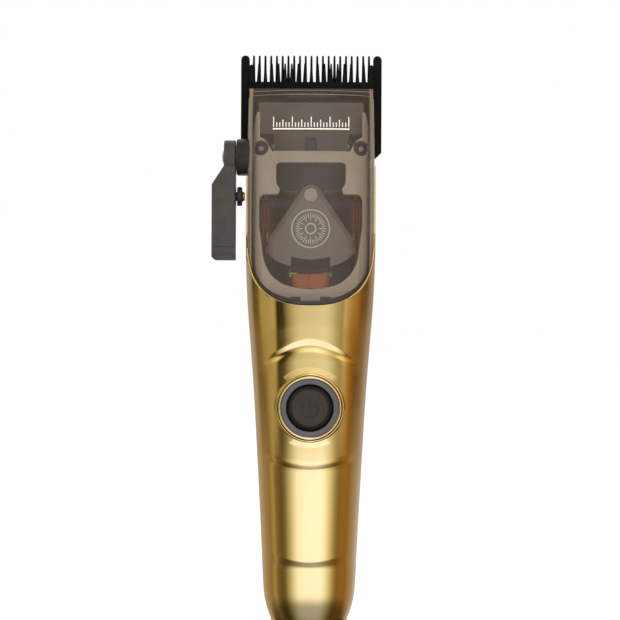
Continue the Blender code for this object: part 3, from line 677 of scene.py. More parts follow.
# It is clear over the motor; down its two side walls it is denser and painted a lighter tan, painted light
# for the light that runs through the walls
HALF_SPAN = 30.0
CLEAR_TO, PAINTED_LIGHT_FROM = 18.5 / HALF_SPAN, 19.1 / HALF_SPAN
CLEAR, PAINTED_LIGHT_ALPHA = 0.28, 0.80
SHADE_ABOVE, SHADE_BELOW = 107.9, 107.3
smoke_tree = smoke.node_tree
smoke_shader = smoke_tree.nodes["Principled BSDF"]
spot = add(smoke_tree, "SeparateXYZ")
wire(smoke_tree, add(smoke_tree, "TexCoord"), "Object", spot, 0)
from_middle = maths(smoke_tree, "DIVIDE", maths(smoke_tree, "ABSOLUTE", spot.outputs[0]), HALF_SPAN * MM)
opacity = ramp(smoke_tree, from_middle, ((CLEAR_TO, (CLEAR,) * 3), (PAINTED_LIGHT_FROM, (PAINTED_LIGHT_ALPHA,) * 3)))
# Its lower edge, along the seat, is painted dark: painted shade where the lid meets the casing
low_edge_shade = add(smoke_tree, "MapRange", From_Min=SHADE_ABOVE * MM, From_Max=SHADE_BELOW * MM)
wire(smoke_tree, spot, 2, low_edge_shade, "Value")
dense = maths(smoke_tree, "MAXIMUM", opacity, maths(smoke_tree, "MULTIPLY", low_edge_shade.outputs[0], 0.85))
smoke_tree.links.new(dense, smoke_shader.inputs["Alpha"])
# Painted light: the side walls get a lighter tan than the clear middle
painted_light_tone = ramp(smoke_tree, from_middle, ((CLEAR_TO, (0.12, 0.098, 0.089)), (PAINTED_LIGHT_FROM, (0.30, 0.235, 0.17))))
# Painted shade: the lid's lowest band is mixed towards dark brown
painted_shade_tone = mixed(smoke_tree, low_edge_shade.outputs[0], painted_light_tone, (0.035, 0.028, 0.024, 1))
smoke_tree.links.new(painted_shade_tone, smoke_shader.inputs["Base Color"])

cover = keep("clear_lid", ring_levels(casing_rows(LID_INSET, LID_BASE, LID_TOP)), smoke)
carve(cover, [ring_levels(casing_rows(LID_INSET + LID_WALL, LID_BASE - 5, LID_TOP + 5))])
carve(cover, [prism(lid_outline(GAP), "Y", -CUT, CUT)], "INTERSECT")
behind_lid = ((-SEAM, 90), (CUT, 90), (CUT, 190), (LID_BACK, 190), (LID_BACK, LID_SHOULDER),
              (-SEAM, LID_SHOULDER))
carve(cover, [prism(behind_lid, "X", -CUT, CUT), round_bar(LEVER_Y, LEVER_Z, 6.3, 48, "X", -30, -18)])
soften(cover, 0.28, 2, 40)
shade(cover, 40)
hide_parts("lid")
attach(cover, "housing")

# Painted highlights: thin pale tubes, two along the lid's top edge and one down each side, where the moulding
# turns its corner
edge_highlight = speckled("painted_edge_highlight", (0.42, 0.37, 0.33), (0.48, 0.42, 0.38), 0.3, 0.45, 1500, 0.05)
edge_highlight.node_tree.nodes["Principled BSDF"].inputs["Alpha"].default_value = 0.6
HIGHLIGHT_RADIUS = 0.13
# Each pale tube is a painted highlight line, not a real rib
for name, height, reach in (("upper", 175.7, 19.2), ("lower", 174.3, 19.0)):
    across = [-reach + 2 * reach * k / 40 for k in range(41)]
    points = [(x, front_y(x, height, 0, LID_INSET) + 0.06, height - 0.5 * (x / reach) ** 2) for x in across]
    rib = tube("lid_highlight_line_" + name, points, HIGHLIGHT_RADIUS, edge_highlight, 8)
    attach(rib, "housing")
for name, side in (("left", -1), ("right", 1)):
    heights = [133.0 + 40.0 * k / 40 for k in range(41)]
    points = [(side * (casing_at(z)[0] - LID_INSET - 0.02), -0.9, z) for z in heights]
    rib = tube("lid_highlight_line_" + name, points, HIGHLIGHT_RADIUS, edge_highlight, 8)
    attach(rib, "housing")


# ---- Chassis ------------------------------------------------------------------------------------
# A pale moulded frame that holds the motor under the lid. It has a rim that follows the lid's U, a
# bridge across the top with a slim post at each side, and a tab that locates it in the casting.

CHASSIS_FRONT, CHASSIS_BACK = -13.0, -4.0
CHASSIS_SCREWS = {"chassis_screw_left": (-16.0, 156.4), "chassis_screw_right": (16.0, 156.4)}


def mirrored(half):
    """Close a half outline, listed on the +X side from one point of the middle line to another."""
    return list(half) + [(-x, z) for x, z in reversed(half) if x > 0]


def round_corners(outline, radius, steps=5):
    """Round the corners of an outline with short curves."""
    softened = []
    count = len(outline)
    for k, here in enumerate(outline):
        here = Vector(here)
        before = Vector(outline[k - 1]) - here
        after = Vector(outline[(k + 1) % count]) - here
        if before.angle(-after, 0.0) < radians(12):
            softened.append(tuple(here))
            continue
        near = min(radius, before.length * 0.45, after.length * 0.45)
        start, end = here + before.normalized() * near, here + after.normalized() * near
        for i in range(steps + 1):
            t = i / steps
            softened.append(tuple((1 - t) ** 2 * start + 2 * t * (1 - t) * here + t * t * end))
    return softened


chassis_pale = speckled("chassis_pale", (0.66, 0.56, 0.45), (0.70, 0.60, 0.48), 0.42, 0.6, 1200, 0.25)
rim = [(x, z) for x, z in lid_curve(0.6, 1.9, 64) if x > 3.1]
rim = [(0.0, 107.5), (3.1, 107.5)] + rim
post = [(19.5, 135.0), (19.5, 168.3), (16.4, 168.3), (16.4, 160.2), (14.4, 158.7), (12.4, 155.2)]
window = [(0, 111.2), (4.7, 111.6), (9.3, 113.0), (12.8, 115.9), (14.9, 120.0), (15.9, 127.4), (16.4, 131.0),
          (16.4, 140.3), (15.2, 141.5), (10.5, 141.5), (9.7, 143.0), (11.1, 145.0), (11.1, 151.6), (0, 151.6)]
chassis = keep("motor_chassis", prism(mirrored(rim + post + [(0, 155.2)]), "Y", CHASSIS_FRONT, CHASSIS_BACK),
               chassis_pale)
carve(chassis, [ring_levels(casing_rows(LID_INSET + LID_WALL + GAP, LID_BASE - 5, LID_TOP + 5))], "INTERSECT")
blocks = [prism(round_corners(mirrored(window), 1.6), "Y", -20, 0),
          box(-12.4, 12.4, 150.0, 160.0, "Y", -9.8, 0), box(-12.3, 12.3, 100.0, 116.0, "Y", -11.5, 0)]
for screw_at in CHASSIS_SCREWS.values():
    blocks += [round_bar(*screw_at, 2.5, 48, "Y", -20, -5.6),
               round_bar(*screw_at, 1.4, 24, "Y", -20, 0)]
for side in (-1, 1):
    notch = ((side * 3.1, 104), (side * 3.1, 108.9), (side * 6.4, 108.9), (side * 6.9, 104))
    blocks.append(prism(notch, "Y", -20, -9.5))
carve(chassis, blocks)
soften(chassis, 0.3, 2, 35)
shade(chassis, 35)
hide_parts("chassis")
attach(chassis, "housing")


# ---- Chassis screws and pin ---------------------------------------------------------------------
# Two blackened cap screws hold the chassis down, each with a hexagon socket. The pin that the
# armature swings on is ground steel, pressed into the bar at the back of the chassis.

PIN_Z, PIN_RADIUS = 141.3, 2.15

black_steel = speckled("blackened_steel", (0.035, 0.030, 0.027), (0.06, 0.052, 0.047), 0.28, 0.42, 1500, 0.1,
                       metallic=0.7)
ground_steel = plated("ground_steel", (0.78, 0.74, 0.69), 0.28, 0.42, 0.1)

for name, (x, z) in CHASSIS_SCREWS.items():
    profile = ((-6.9, 0), (-6.9, 1.75), (-6.84, 1.95), (-6.7, 2.06), (-6.5, 2.1), (-5.9, 2.1), (-5.9, 1.1),
               (-2.3, 1.1), (-2.3, 0))
    screw = keep(name.replace("chassis", "lid_side"), turned(profile, "Y", x, z, 48), black_steel)
    carve(screw, [round_bar(x, z, 0.95, 6, "Y", -12, -6.3)])
    shade(screw, 30)
    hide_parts(name)
    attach(screw, "housing")
    floor_of_socket = turned(((-6.36, 0), (-6.36, 0.8), (-6.2, 0.8), (-6.2, 0)), "Y", x, z, 24)
    socket = keep(name.replace("chassis", "socket"), floor_of_socket, ground_steel)
    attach(socket, "housing")

pin_profile = ((-11.35, 0), (-11.35, 1.95), (-11.3, 2.08), (-11.2, PIN_RADIUS), (-5.8, PIN_RADIUS), (-5.8, 0))
pin_steel = speckled("pin_face", (0.74, 0.62, 0.53), (0.80, 0.68, 0.58), 0.5, 0.62, 2600, 0.2, metallic=0.3)
pin = keep("swing_pin", turned(pin_profile, "Y", 0, PIN_Z, 64), pin_steel, 30)
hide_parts("armature_pin")
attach(pin, "housing")


# ---- Armature -----------------------------------------------------------------------------------
# A swinging plate of bead-blasted steel, bevelled down both flanks, with two dark magnets under its
# feet. Its face carries a plain graduated ring, printed in pale ink.

PLATE_FRONT, PLATE_BACK = -11.0, -9.0
LOBE_RADIUS, NOTCH_RADIUS = 23.6, 20.5
FLANK_BEVEL = 1.5
RING_Z = 130.6


def below_pin(radius, x):
    """Height of a point on an arc about the pin, below it."""
    return PIN_Z - sqrt(radius ** 2 - x ** 2)


blasted = speckled("blasted_steel", (0.335, 0.30, 0.268), (0.385, 0.345, 0.31), 0.45, 0.6, 2600, 0.3,
                   metallic=0.35)
magnet_black = speckled("magnet_black", (0.05, 0.048, 0.046), (0.075, 0.07, 0.066), 0.35, 0.5, 1500, 0.15,
                        metallic=0.6)
pale_ink = speckled("pale_ink", (0.90, 0.88, 0.84), (0.96, 0.94, 0.90), 0.45, 0.6, 3000, 0.1)

apex = [(3.4 * sin(radians(a)), PIN_Z + 3.4 * cos(radians(a))) for a in range(0, 61, 10)]
feet = [(11.5 - 5.2 * k / 8, below_pin(LOBE_RADIUS, 11.5 - 5.2 * k / 8)) for k in range(9)]
notch = [(6.1 * (1 - k / 8), below_pin(NOTCH_RADIUS, 6.1 * (1 - k / 8))) for k in range(9)]
bm = prism(mirrored(apex + [(13.4, 127.6), (13.4, 122.4)] + feet + notch), "Y", PLATE_FRONT, PLATE_BACK)
flanks = [e for e in bm.edges if all(abs(v.co.y - PLATE_FRONT * MM) < 1e-6 for v in e.verts)
          and all(v.co.z > 122 * MM for v in e.verts)]
bmesh.ops.bevel(bm, geom=flanks, offset=FLANK_BEVEL * MM, offset_type="OFFSET", affect="EDGES", segments=1,
                profile=0.5, material=-1, clamp_overlap=True)
plate = keep("swing_plate", bm, blasted)
carve(plate, [round_bar(0, PIN_Z, PIN_RADIUS + 0.1, 64, "Y", -20, 0)])
soften(plate, 0.12, 2, 25)
shade(plate, 20)
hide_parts("armature_plate")
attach(plate, "armature")


def merged(name, blocks, look):
    """Several small solids kept as one piece."""
    whole = bmesh.new()
    for bm in blocks:
        part = bpy.data.meshes.new("part")
        bm.to_mesh(part)
        bm.free()
        whole.from_mesh(part)
        bpy.data.meshes.remove(part)
    return keep(name, whole, look)


INK = 0.04
marks = []
for inner, outer in ((1.4, 1.85), (5.8, 6.2)):
    face = PLATE_FRONT - INK
    section = ((face, inner), (PLATE_FRONT, inner), (PLATE_FRONT, outer), (face, outer))
    marks.append(turned(section, "Y", 0, RING_Z, 72))
for k in range(36):
    near, far = (2.7, 4.9) if k % 3 == 0 else (3.6, 4.9)
    bm = box(near, far, -0.15, 0.15, "Y", PLATE_FRONT - INK, PLATE_FRONT)
    bmesh.ops.rotate(bm, verts=bm.verts, cent=(0, 0, 0), matrix=Matrix.Rotation(radians(10 * k), 3, "Y"))
    bmesh.ops.translate(bm, verts=bm.verts, vec=(0, 0, RING_Z * MM))
    marks.append(bm)
ring = merged("plate_scale", marks, pale_ink)
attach(ring, "armature")


def dress(look, *names):
    """Give a carried-over solid its finish."""
    for name in names:
        nodes[name].material_slots[0].material = look


arm_black = speckled("arm_nylon", (0.030, 0.028, 0.027), (0.040, 0.038, 0.036), 0.4, 0.55, 1800, 0.2)
dress(magnet_black, "armature_magnet_left", "armature_magnet_right")
dress(arm_black, "drive_arm")
dress(ground_steel, "drive_tip")


# ---- Stator, bobbin and coil --------------------------------------------------------------------
# An E-shaped stack of thin steel sheets. The coil of enamelled copper wire is wound on a black
# nylon bobbin that slides over the middle leg, turn beside turn.

COIL = {"x": 6.2, "y": (-10.8, 0.8), "z": (105.6, 116.5)}
WIRE_RADIUS = 0.3
COIL_SEAM = -0.6               # the turns are pressed in along a line down the front


def banded(name, colour, dark, pitch, axis, rough=0.4, metallic=1.0, grain=0.4):
    """A finish with fine parallel lines across an axis, such as stacked sheets or brushed metal."""
    look, tree, shader = new_look(name, Metallic=metallic, Roughness=rough)
    lines = add(tree, "TexWave", Scale=1 / (pitch * MM) * 2 * pi / 20, Distortion=0.4, Detail=2)
    lines.bands_direction = axis
    wire(tree, add(tree, "TexCoord"), "Object", lines, "Vector")
    tree.links.new(ramp(tree, lines.outputs[1], ((0.0, dark), (0.45, colour), (1.0, colour))),
                   shader.inputs["Base Color"])
    relief(tree, shader, lines.outputs[1], grain, 0.00005)
    return look


laminated = banded("laminated_steel", (0.05, 0.047, 0.044), (0.02, 0.018, 0.017), 0.5, "Y", 0.45, 0.8)
nylon = speckled("bobbin_nylon", (0.012, 0.011, 0.011), (0.018, 0.017, 0.017), 0.42, 0.55, 2000, 0.2)
dress(laminated, "stator_core")
dress(nylon, "coil_bobbin")

# A black strip at the foot of the seat, behind the two notches in the chassis rim, is painted shade: a dark
# sheet where there is only shadow
strip = keep("seat_shadow_strip", box(-7.6, 7.6, 106.4, 109.4, "Y", -11.75, -11.55), nylon)
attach(strip, "housing")

enamelled = plated("enamelled_copper", (0.98, 0.34, 0.06), 0.28, 0.4, 0.15)
enamelled.node_tree.nodes["Principled BSDF"].inputs["Metallic"].default_value = 0.55
half_x = COIL["x"] - WIRE_RADIUS
half_y = (COIL["y"][1] - COIL["y"][0]) / 2 - WIRE_RADIUS
middle_y = sum(COIL["y"]) / 2
turns = int((COIL["z"][1] - COIL["z"][0]) / (2 * WIRE_RADIUS)) - 1
steps = 120
winding = []
for k in range(turns * steps + 1):
    angle = 2 * pi * k / steps
    c, s = cos(angle), sin(angle)
    reach = ((abs(c) / half_x) ** 6 + (abs(s) / half_y) ** 6) ** (-1 / 6)
    height = COIL["z"][0] + WIRE_RADIUS + 2 * WIRE_RADIUS * k / steps
    seam_at = COIL_SEAM + 0.25 * sin(1.9 * height)
    pinch = max(0.0, 1 - abs(reach * c - seam_at) / 0.7) if s < 0 else 0.0
    winding.append((reach * c, middle_y + reach * s + 0.5 * pinch, height))
coil = tube("coil_turns", winding, WIRE_RADIUS, enamelled, 8)
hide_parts("coil_winding")
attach(coil, "housing")


# ---- Centring springs ---------------------------------------------------------------------------
# Short, fat coils of red-lacquered spring wire between the chassis and the armature's flanks. They
# bring the armature back to the middle.

SPRING_TURNS, SPRING_MEAN, SPRING_WIRE = 2.5, 4.6, 0.45
SPRING_START, SPRING_LENGTH = 13.1, 2.5
SPRING_Y, SPRING_Z = -8.0, 134.2

red_lacquer = speckled("red_lacquer", (0.15, 0.010, 0.010), (0.20, 0.016, 0.014), 0.3, 0.42, 1200, 0.05)
for name, side in (("left", -1), ("right", 1)):
    points = []
    count = int(SPRING_TURNS * 36)
    for k in range(count + 1):
        angle = 2 * pi * k / 36
        points.append((side * (SPRING_START + SPRING_LENGTH * k / count), SPRING_Y + SPRING_MEAN * cos(angle),
                       SPRING_Z + SPRING_MEAN * sin(angle)))
    spring = tube("red_spring_" + name, points, SPRING_WIRE, red_lacquer, 12)
    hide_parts("centring_spring_" + name)
    outer, inner = side * (SPRING_START + SPRING_LENGTH) * MM, side * SPRING_START * MM
    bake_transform(spring)


# ---- Fixed blade and cutter ---------------------------------------------------------------------
# The fixed blade is a hardened comb with a black coating, its teeth ground to thin rounded points.
# The cutter in front of it has a ground bevel along the roots of its teeth.

BLADE_HALF, BLADE_FRONT, BLADE_BACK = 23.0, 6.0, 9.0
BLADE_BOTTOM, BLADE_ROOT, BLADE_TIP = 154.3, 176.5, 188.0
FINE_TEETH, END_TOOTH = 21, 2.8
CUTTER_HALF, CUTTER_FRONT, CUTTER_BACK = 20.3, 3.2, 5.7
CUTTER_BOTTOM, CUTTER_ROOT, CUTTER_TIP = 161.2, 179.0, 185.2
CUTTER_TEETH, CUTTER_END = 17, 1.6
BLADE_SCREWS = {"blade_screw_left": (-11.5, 158.0), "blade_screw_right": (11.5, 158.0)}


def comb(half_width, root, teeth, end_tooth, tip, foot, point, drop=0.0):
    """The toothed top edge of a comb, from left to right, each tooth with a rounded point."""
    pitch = 2 * (half_width - end_tooth) / (teeth + 0.45)
    edge = []

    def tooth(centre, half_foot, half_point, top):
        shoulder = top - half_point
        edge.append((centre - half_foot, root))
        edge.extend((centre - half_point * cos(radians(a)), shoulder + half_point * sin(radians(a)))
                    for a in range(0, 181, 30))
        edge.append((centre + half_foot, root))

    tooth(-half_width + end_tooth / 2, end_tooth / 2, end_tooth / 2, tip - drop)
    for k in range(teeth):
        tooth((k - (teeth - 1) / 2) * pitch, pitch * foot, pitch * point, tip)
    tooth(half_width - end_tooth / 2, end_tooth / 2, end_tooth / 2, tip - drop)
    return edge


blade_black = speckled("blade_coating", (0.0025, 0.0025, 0.0027), (0.0045, 0.0045, 0.0047), 0.28, 0.4, 1800,
                       0.08)
blade_black.node_tree.nodes["Principled BSDF"].inputs["Specular IOR Level"].default_value = 0.09

edge = comb(BLADE_HALF, BLADE_ROOT, FINE_TEETH, END_TOOTH, BLADE_TIP, 0.3, 0.17)
foot = [(BLADE_HALF, BLADE_BOTTOM + 2.0), (BLADE_HALF - 2.0, BLADE_BOTTOM), (-BLADE_HALF + 2.0, BLADE_BOTTOM),
        (-BLADE_HALF, BLADE_BOTTOM + 2.0)]
blade = keep("comb_blade", prism(edge + foot, "Y", BLADE_FRONT, BLADE_BACK), blade_black)
slope = ((BLADE_FRONT + 0.9, 192.0), (BLADE_FRONT + 1.4, 188.1), (BLADE_BACK, 174.5), (BLADE_BACK, 172.0),
         (CUT, 172.0), (CUT, 192.0))
under = ((0.0, 192.0), (BLADE_FRONT + 0.7, 192.0), (BLADE_FRONT + 0.7, 188.0), (BLADE_FRONT, 184.6),
         (0.0, 184.6))
tools = [prism(slope, "X", -CUT, CUT), prism(under, "X", -CUT, CUT)]
for screw_at in BLADE_SCREWS.values():
    tools += [round_bar(*screw_at, 1.4, 32, "Y", 0, 20), round_bar(*screw_at, 2.7, 48, "Y", 7.8, 20)]
carve(blade, tools)
soften(blade, 0.12, 1, 40)
shade(blade, 30)
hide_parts("fixed_blade")
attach(blade, "blade_carrier")

edge = comb(CUTTER_HALF, CUTTER_ROOT, CUTTER_TEETH, CUTTER_END, CUTTER_TIP, 0.3, 0.12, 0.4)
stem = [(CUTTER_HALF, CUTTER_BOTTOM + 9.5), (16.0, CUTTER_BOTTOM + 8.0), (16.0, CUTTER_BOTTOM),
        (-16.0, CUTTER_BOTTOM), (-16.0, CUTTER_BOTTOM + 8.0), (-CUTTER_HALF, CUTTER_BOTTOM + 9.5)]
mover = keep("moving_comb", prism(edge + stem, "Y", CUTTER_FRONT, CUTTER_BACK), blade_black)
ground = ((0.0, 192.0), (4.9, 192.0), (4.9, 185.5), (4.5, 182.2), (CUTTER_FRONT, 179.4), (0.0, 179.4))
carve(mover, [prism(ground, "X", -CUT, CUT)])
soften(mover, 0.1, 1, 40)
shade(mover, 30)
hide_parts("cutter")
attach(mover, "cutter")

for name, (x, z) in BLADE_SCREWS.items():
    profile = ((3.6, 0), (3.6, 1.1), (8.1, 1.1), (8.1, 2.4), (8.9, 2.4), (9.2, 2.0), (9.3, 1.5), (9.3, 0))
    screw = keep(name.replace("blade", "comb"), turned(profile, "Y", x, z, 48), ground_steel)
    carve(screw, [box(x - 1.6, x + 1.6, z - 0.3, z + 0.3, "Y", 8.8, 12),
                  box(x - 0.3, x + 0.3, z - 1.6, z + 1.6, "Y", 8.8, 12)])
    shade(screw, 30)
    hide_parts(name)
    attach(screw, "blade_carrier")


# ---- Cutter guide, carrier and head frame -------------------------------------------------------
# Glass-filled nylon mouldings behind the lid. The guide carries the cutter across, and the carrier
# lifts the fixed blade between the two rails of the head frame.

guide_grey = speckled("guide_nylon", (0.19, 0.165, 0.152), (0.22, 0.192, 0.177), 0.4, 0.55, 1500, 0.2)
rail_grey = speckled("rail_nylon", (0.060, 0.058, 0.057), (0.08, 0.077, 0.075), 0.4, 0.55, 1500, 0.2)
dress(guide_grey, "cutter_guide")
dress(rail_grey, "blade_carrier", "head_frame")


# ---- Taper lever --------------------------------------------------------------------------------
# A die-cast lever with a black powder coat. Its flat paddle hangs from a round hub, and a groove
# runs across it near the end. A domed screw holds it on the cam shaft.

LEVER_INNER, LEVER_HUB, LEVER_OUTER, LEVER_END = -24.3, -28.0, -31.9, 120.7
DETENT_Z = 141.3
LEVER_HALF = 4.4

powder = speckled("powder_coat", (0.044, 0.041, 0.040), (0.056, 0.052, 0.050), 0.38, 0.5, 2200, 0.35)
lever_shape = ((LEVER_INNER, 157.0), (LEVER_INNER, LEVER_END), (-30.9, LEVER_END), (LEVER_OUTER, 121.7),
               (LEVER_OUTER, 145.0), (LEVER_HUB, 151.0), (LEVER_HUB, 157.0))
lever = keep("cast_lever", prism(lever_shape, "Y", LEVER_Y - LEVER_HALF, LEVER_Y + LEVER_HALF), powder)
soften(lever, 0.3, 2, 35)
hub_profile = ((LEVER_HUB, 0), (LEVER_HUB, 5.2), (LEVER_HUB + 0.1, 5.42), (LEVER_HUB + 0.3, 5.5),
               (LEVER_INNER - 0.3, 5.5), (LEVER_INNER - 0.02, 5.25), (LEVER_INNER - 0.02, 0))
carve(lever, [turned(hub_profile, "X", LEVER_Y, LEVER_Z, 64)], "UNION")
groove = [box(-34, -20, 122.3, 125.1, "Y", y, y + 0.8)
          for y in (LEVER_Y - LEVER_HALF - 0.4, LEVER_Y + LEVER_HALF - 0.4)]
carve(lever, groove + [round_bar(LEVER_Y, LEVER_Z, 3.1, 48, "X", -40, LEVER_HUB + 0.7),
                       round_bar(LEVER_Y, LEVER_Z, 1.5, 32, "X", -40, -20),
                       round_bar(LEVER_Y, DETENT_Z, 3.4, 48, "X", -25.2, -20),
                       round_bar(LEVER_Y, DETENT_Z, 1.9, 32, "X", -29.0, -20)])
shade(lever, 30)
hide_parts("taper_lever")
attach(lever, "taper_lever")

dome = ((-28.75, 0), (-28.72, 0.6), (-28.6, 1.3), (-28.38, 1.95), (-28.1, 2.45), (-27.75, 2.8), (-27.6, 2.9),
        (-27.6, 1.2), (-21.6, 1.2), (-21.6, 0))
dome_screw = keep("dome_screw", turned(dome, "X", LEVER_Y, LEVER_Z, 48), ground_steel, 30)
carve(dome_screw, [round_bar(LEVER_Y, LEVER_Z, 0.9, 6, "X", -32, -28.1)])
shade(dome_screw, 30)
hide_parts("lever_screw")
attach(dome_screw, "taper_lever")

boss_look = speckled("boss_nylon", (0.012, 0.012, 0.013), (0.018, 0.018, 0.019), 0.3, 0.42, 1500, 0.15)
boss_profile = ((-24.0, 2.6), (-24.0, 5.4), (-23.9, 5.7), (-23.6, 5.9), (-23.2, 6.0), (-19.9, 6.0),
                (-19.9, 2.6))
boss = keep("hub_boss", turned(boss_profile, "X", LEVER_Y, LEVER_Z, 64), boss_look, 30)
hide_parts("lever_boss")
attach(boss, "housing")
dress(ground_steel, "lever_cam_shaft")

body_profile = ((-27.6, 0), (-27.6, 1.5), (-23.8, 1.5), (-23.8, 3.0), (-23.65, 3.1), (-22.4, 3.1),
                (-22.2, 2.9), (-22.15, 1.7), (-21.9, 1.62), (-21.9, 0))
tip_profile = ((-21.88, 0), (-21.88, 1.5), (-21.5, 1.45), (-21.32, 1.1), (-21.3, 0))
plunger = keep("click_plunger", turned(body_profile, "X", LEVER_Y, DETENT_Z, 48), boss_look, 30)
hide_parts("detent_plunger")
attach(plunger, "detent_plunger")
copper_tip = plated("copper_tip", (0.80, 0.42, 0.24), 0.25, 0.35, 0.1)
tip = keep("click_tip", turned(tip_profile, "X", LEVER_Y, DETENT_Z, 48), copper_tip, 30)
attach(tip, "detent_plunger")


# ---- Power button -------------------------------------------------------------------------------
# A dark soft-touch button with the usual on-off mark moulded into its face. Round it stand a
# frosted grey ring that lights up, and a polished gold bezel pressed into the casing.

BUTTON_FACE, SYMBOL_FACE = -18.2, -18.13

bezel_profile = ((-14.5, 9.25), (-17.5, 9.25), (-17.72, 9.3), (-17.8, 9.42), (-17.8, 9.86), (-17.74, 9.98),
                 (-17.55, 10.08), (-17.3, 10.1), (-14.5, 10.1))
bezel = keep("gold_bezel", turned(bezel_profile, "Y", 0, BUTTON_Z, 128), bead_gold, 40)
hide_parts("button_bezel")
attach(bezel, "housing")

frosted = speckled("frosted_ring", (0.080, 0.084, 0.093), (0.094, 0.098, 0.108), 0.4, 0.5, 1500, 0.05)
ring_profile = ((-14.8, 7.5), (-17.3, 7.5), (-17.48, 7.56), (-17.58, 7.75), (-17.6, 8.3), (-17.6, 8.9),
                (-17.54, 9.08), (-17.4, 9.2), (-14.8, 9.2))
light_ring = keep("light_ring", turned(ring_profile, "Y", 0, BUTTON_Z, 128), frosted, 40)
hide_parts("led_ring")
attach(light_ring, "housing")

soft_touch = speckled("soft_touch", (0.026, 0.022, 0.018), (0.033, 0.028, 0.023), 0.5, 0.65, 3500, 0.3)
soft_touch_shaded = speckled("soft_touch_painted_shade", (0.016, 0.014, 0.012), (0.022, 0.019, 0.017), 0.5, 0.6, 3500, 0.2)
button_profile = ((-18.12, 0), (SYMBOL_FACE, 3.0), (BUTTON_FACE, 5.3), (BUTTON_FACE, 5.5), (-18.1, 5.72),
                  (-17.9, 5.9), (-17.2, 6.5), (-16.5, 6.95), (-16.2, 7.1), (-15.4, 7.1), (-15.4, 2.2),
                  (-14.55, 2.2), (-14.55, 0))
button = keep("touch_button", turned(button_profile, "Y", 0, BUTTON_Z, 96), soft_touch)
# The button's flange and the sides sunk in the ring get a darker copy of its finish: painted shade
button.data.materials.append(soft_touch_shaded)
for face in button.data.polygons:
    reach = sqrt(face.center.x ** 2 + (face.center.z - BUTTON_Z * MM) ** 2)
    if reach > 5.75 * MM or face.center.y > -17 * MM:
        face.material_index = 1
SYMBOL_RADIUS, SYMBOL_LINE, SYMBOL_DEPTH = 2.6, 0.45, 0.18
OPENING = 34                   # half the gap in the mark's circle, in degrees
half = SYMBOL_LINE / 2
outer, inner = (ring_points(0, BUTTON_Z - 0.4, radius, 48, 90 + OPENING, 450 - OPENING)
                for radius in (SYMBOL_RADIUS + half, SYMBOL_RADIUS - half))
carve(button, [prism(outer + inner[::-1], "Y", -20, SYMBOL_FACE + SYMBOL_DEPTH),
               box(-half, half, BUTTON_Z - 0.1, BUTTON_Z + 3.3, "Y", -20, SYMBOL_FACE + SYMBOL_DEPTH)])
shade(button, 25)
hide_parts("power_button")
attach(button, "power_button")


# ---- Lid print ----------------------------------------------------------------------------------
# A plain graduated scale in pale ink on the face of the lid: short marks a millimetre apart, a longer
# one at every third and the longest at every sixth, over a fine base line.

def lid_patch(x, z):
    """A small block of ink that follows the lid's face, from its low and high across and up."""
    bm = bmesh.new()
    bmesh.ops.create_grid(bm, x_segments=max(1, round((x[1] - x[0]) / 0.5)), y_segments=4, size=0.5)
    for vert in bm.verts:
        u = x[0] + (x[1] - x[0]) * (vert.co.x + 0.5)
        v = z[0] + (z[1] - z[0]) * (vert.co.y + 0.5)
        vert.co = Vector((u, front_y(u, v, 0, LID_INSET) - 0.015, v)) * MM
    bmesh.ops.recalc_face_normals(bm, faces=bm.faces)
    if sum(f.normal.y for f in bm.faces) > 0:
        bmesh.ops.reverse_faces(bm, faces=bm.faces)
    bmesh.ops.solidify(bm, geom=bm.faces, thickness=-0.03 * MM)
    bmesh.ops.recalc_face_normals(bm, faces=bm.faces)
    return bm


SCALE_BASE, HALF_MARK = 163.0, 0.16
strokes = [lid_patch((-12.2, 12.2), (SCALE_BASE - 0.9, SCALE_BASE - 0.45))]
for k in range(-12, 13):
    tall = 3.4 if k % 6 == 0 else 2.4 if k % 3 == 0 else 1.5
    strokes.append(lid_patch((k - HALF_MARK, k + HALF_MARK), (SCALE_BASE, SCALE_BASE + tall)))
scale = merged("lid_scale", strokes, pale_ink)
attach(scale, "housing")


# ---- Electrics ----------------------------------------------------------------------------------
# Inside the grip: a lithium cell in a shrink sleeve, the control board with its parts soldered on,
# the switch under the button, the wires, and the steel charging socket in the foot.

BOARD_FACE = -11.4

sleeve = speckled("shrink_sleeve", (0.020, 0.075, 0.18), (0.028, 0.09, 0.21), 0.25, 0.4, 700, 0.15)
solder_mask = banded("solder_mask", (0.010, 0.075, 0.030), (0.016, 0.11, 0.045), 1.3, "X", 0.4, 0.0, 0.1)
switch_black = speckled("switch_black", (0.015, 0.015, 0.015), (0.022, 0.022, 0.022), 0.35, 0.5, 1500, 0.1)
red_wire = speckled("red_insulation", (0.42, 0.020, 0.016), (0.50, 0.028, 0.022), 0.4, 0.5, 1800, 0.1)
black_wire = speckled("black_insulation", (0.012, 0.012, 0.012), (0.02, 0.02, 0.02), 0.4, 0.5, 1800, 0.1)
socket_steel = banded("socket_steel", (0.62, 0.61, 0.59), (0.5, 0.49, 0.47), 0.12, "Z", 0.3, 1.0, 0.15)
tongue_black = speckled("tongue_black", (0.014, 0.014, 0.015), (0.02, 0.02, 0.021), 0.4, 0.5, 1500, 0.1)
dress(sleeve, "battery")
dress(solder_mask, "circuit_board")
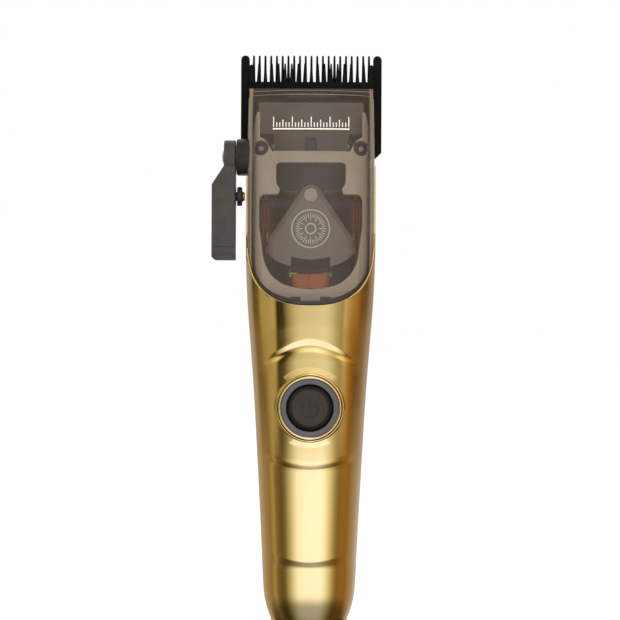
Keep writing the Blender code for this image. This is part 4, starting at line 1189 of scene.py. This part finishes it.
dress(switch_black, "tactile_switch")
dress(red_wire, "motor_lead_left", "battery_lead_positive")
dress(black_wire, "motor_lead_right", "battery_lead_negative")
dress(socket_steel, "charging_port")
dress(tongue_black, "charging_contact")

chip_black = speckled("chip_resin", (0.018, 0.018, 0.019), (0.026, 0.026, 0.027), 0.45, 0.6, 2500, 0.2)
# Middle across and up, half width, half height and how far each part stands off the board
CHIPS = ((-4.0, 60.0, 3.0, 3.0, 1.1), (4.5, 55.0, 1.6, 2.4, 1.0), (5.5, 63.5, 1.0, 0.6, 0.6),
         (5.5, 66.0, 1.0, 0.6, 0.6), (-5.0, 84.0, 2.0, 2.0, 1.6), (4.0, 86.5, 1.2, 0.7, 0.7),
         (4.0, 89.0, 1.2, 0.7, 0.7), (-3.5, 45.0, 2.4, 1.7, 1.1), (4.2, 42.0, 1.4, 1.4, 1.0),
         (0.5, 36.0, 1.0, 0.6, 0.6))
chips = []
for x, z, half_width, half_height, proud in CHIPS:
    bm = box(x - half_width, x + half_width, z - half_height, z + half_height, "Y", BOARD_FACE - proud,
             BOARD_FACE)
    bmesh.ops.bevel(bm, geom=bm.edges[:], offset=0.12 * MM, offset_type="OFFSET", affect="EDGES", segments=1,
                    profile=0.5, material=-1)
    chips.append(bm)
board_parts = merged("board_parts", chips, chip_black)
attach(board_parts, "housing")


# ---- Rear screws --------------------------------------------------------------------------------
# Four slotted steel screws, sunk in their holes, hold the two halves of the casing together.

for name, (x, z) in REAR_SCREWS.items():
    head = casing_at(z)[2] - 1.2
    profile = ((head - 9, 0), (head - 9, 1.1), (head - 1.2, 1.1), (head - 1.2, 2.2), (head - 0.25, 2.2),
               (head - 0.08, 2.12), (head, 1.95), (head, 0))
    screw = keep(name.replace("rear_screw", "casing_screw"), turned(profile, "Y", x, z, 48), ground_steel)
    carve(screw, [box(x - 1.5, x + 1.5, z - 0.25, z + 0.25, "Y", head - 0.5, head + 1)])
    shade(screw, 30)
    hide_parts(name)
    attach(screw, "housing")
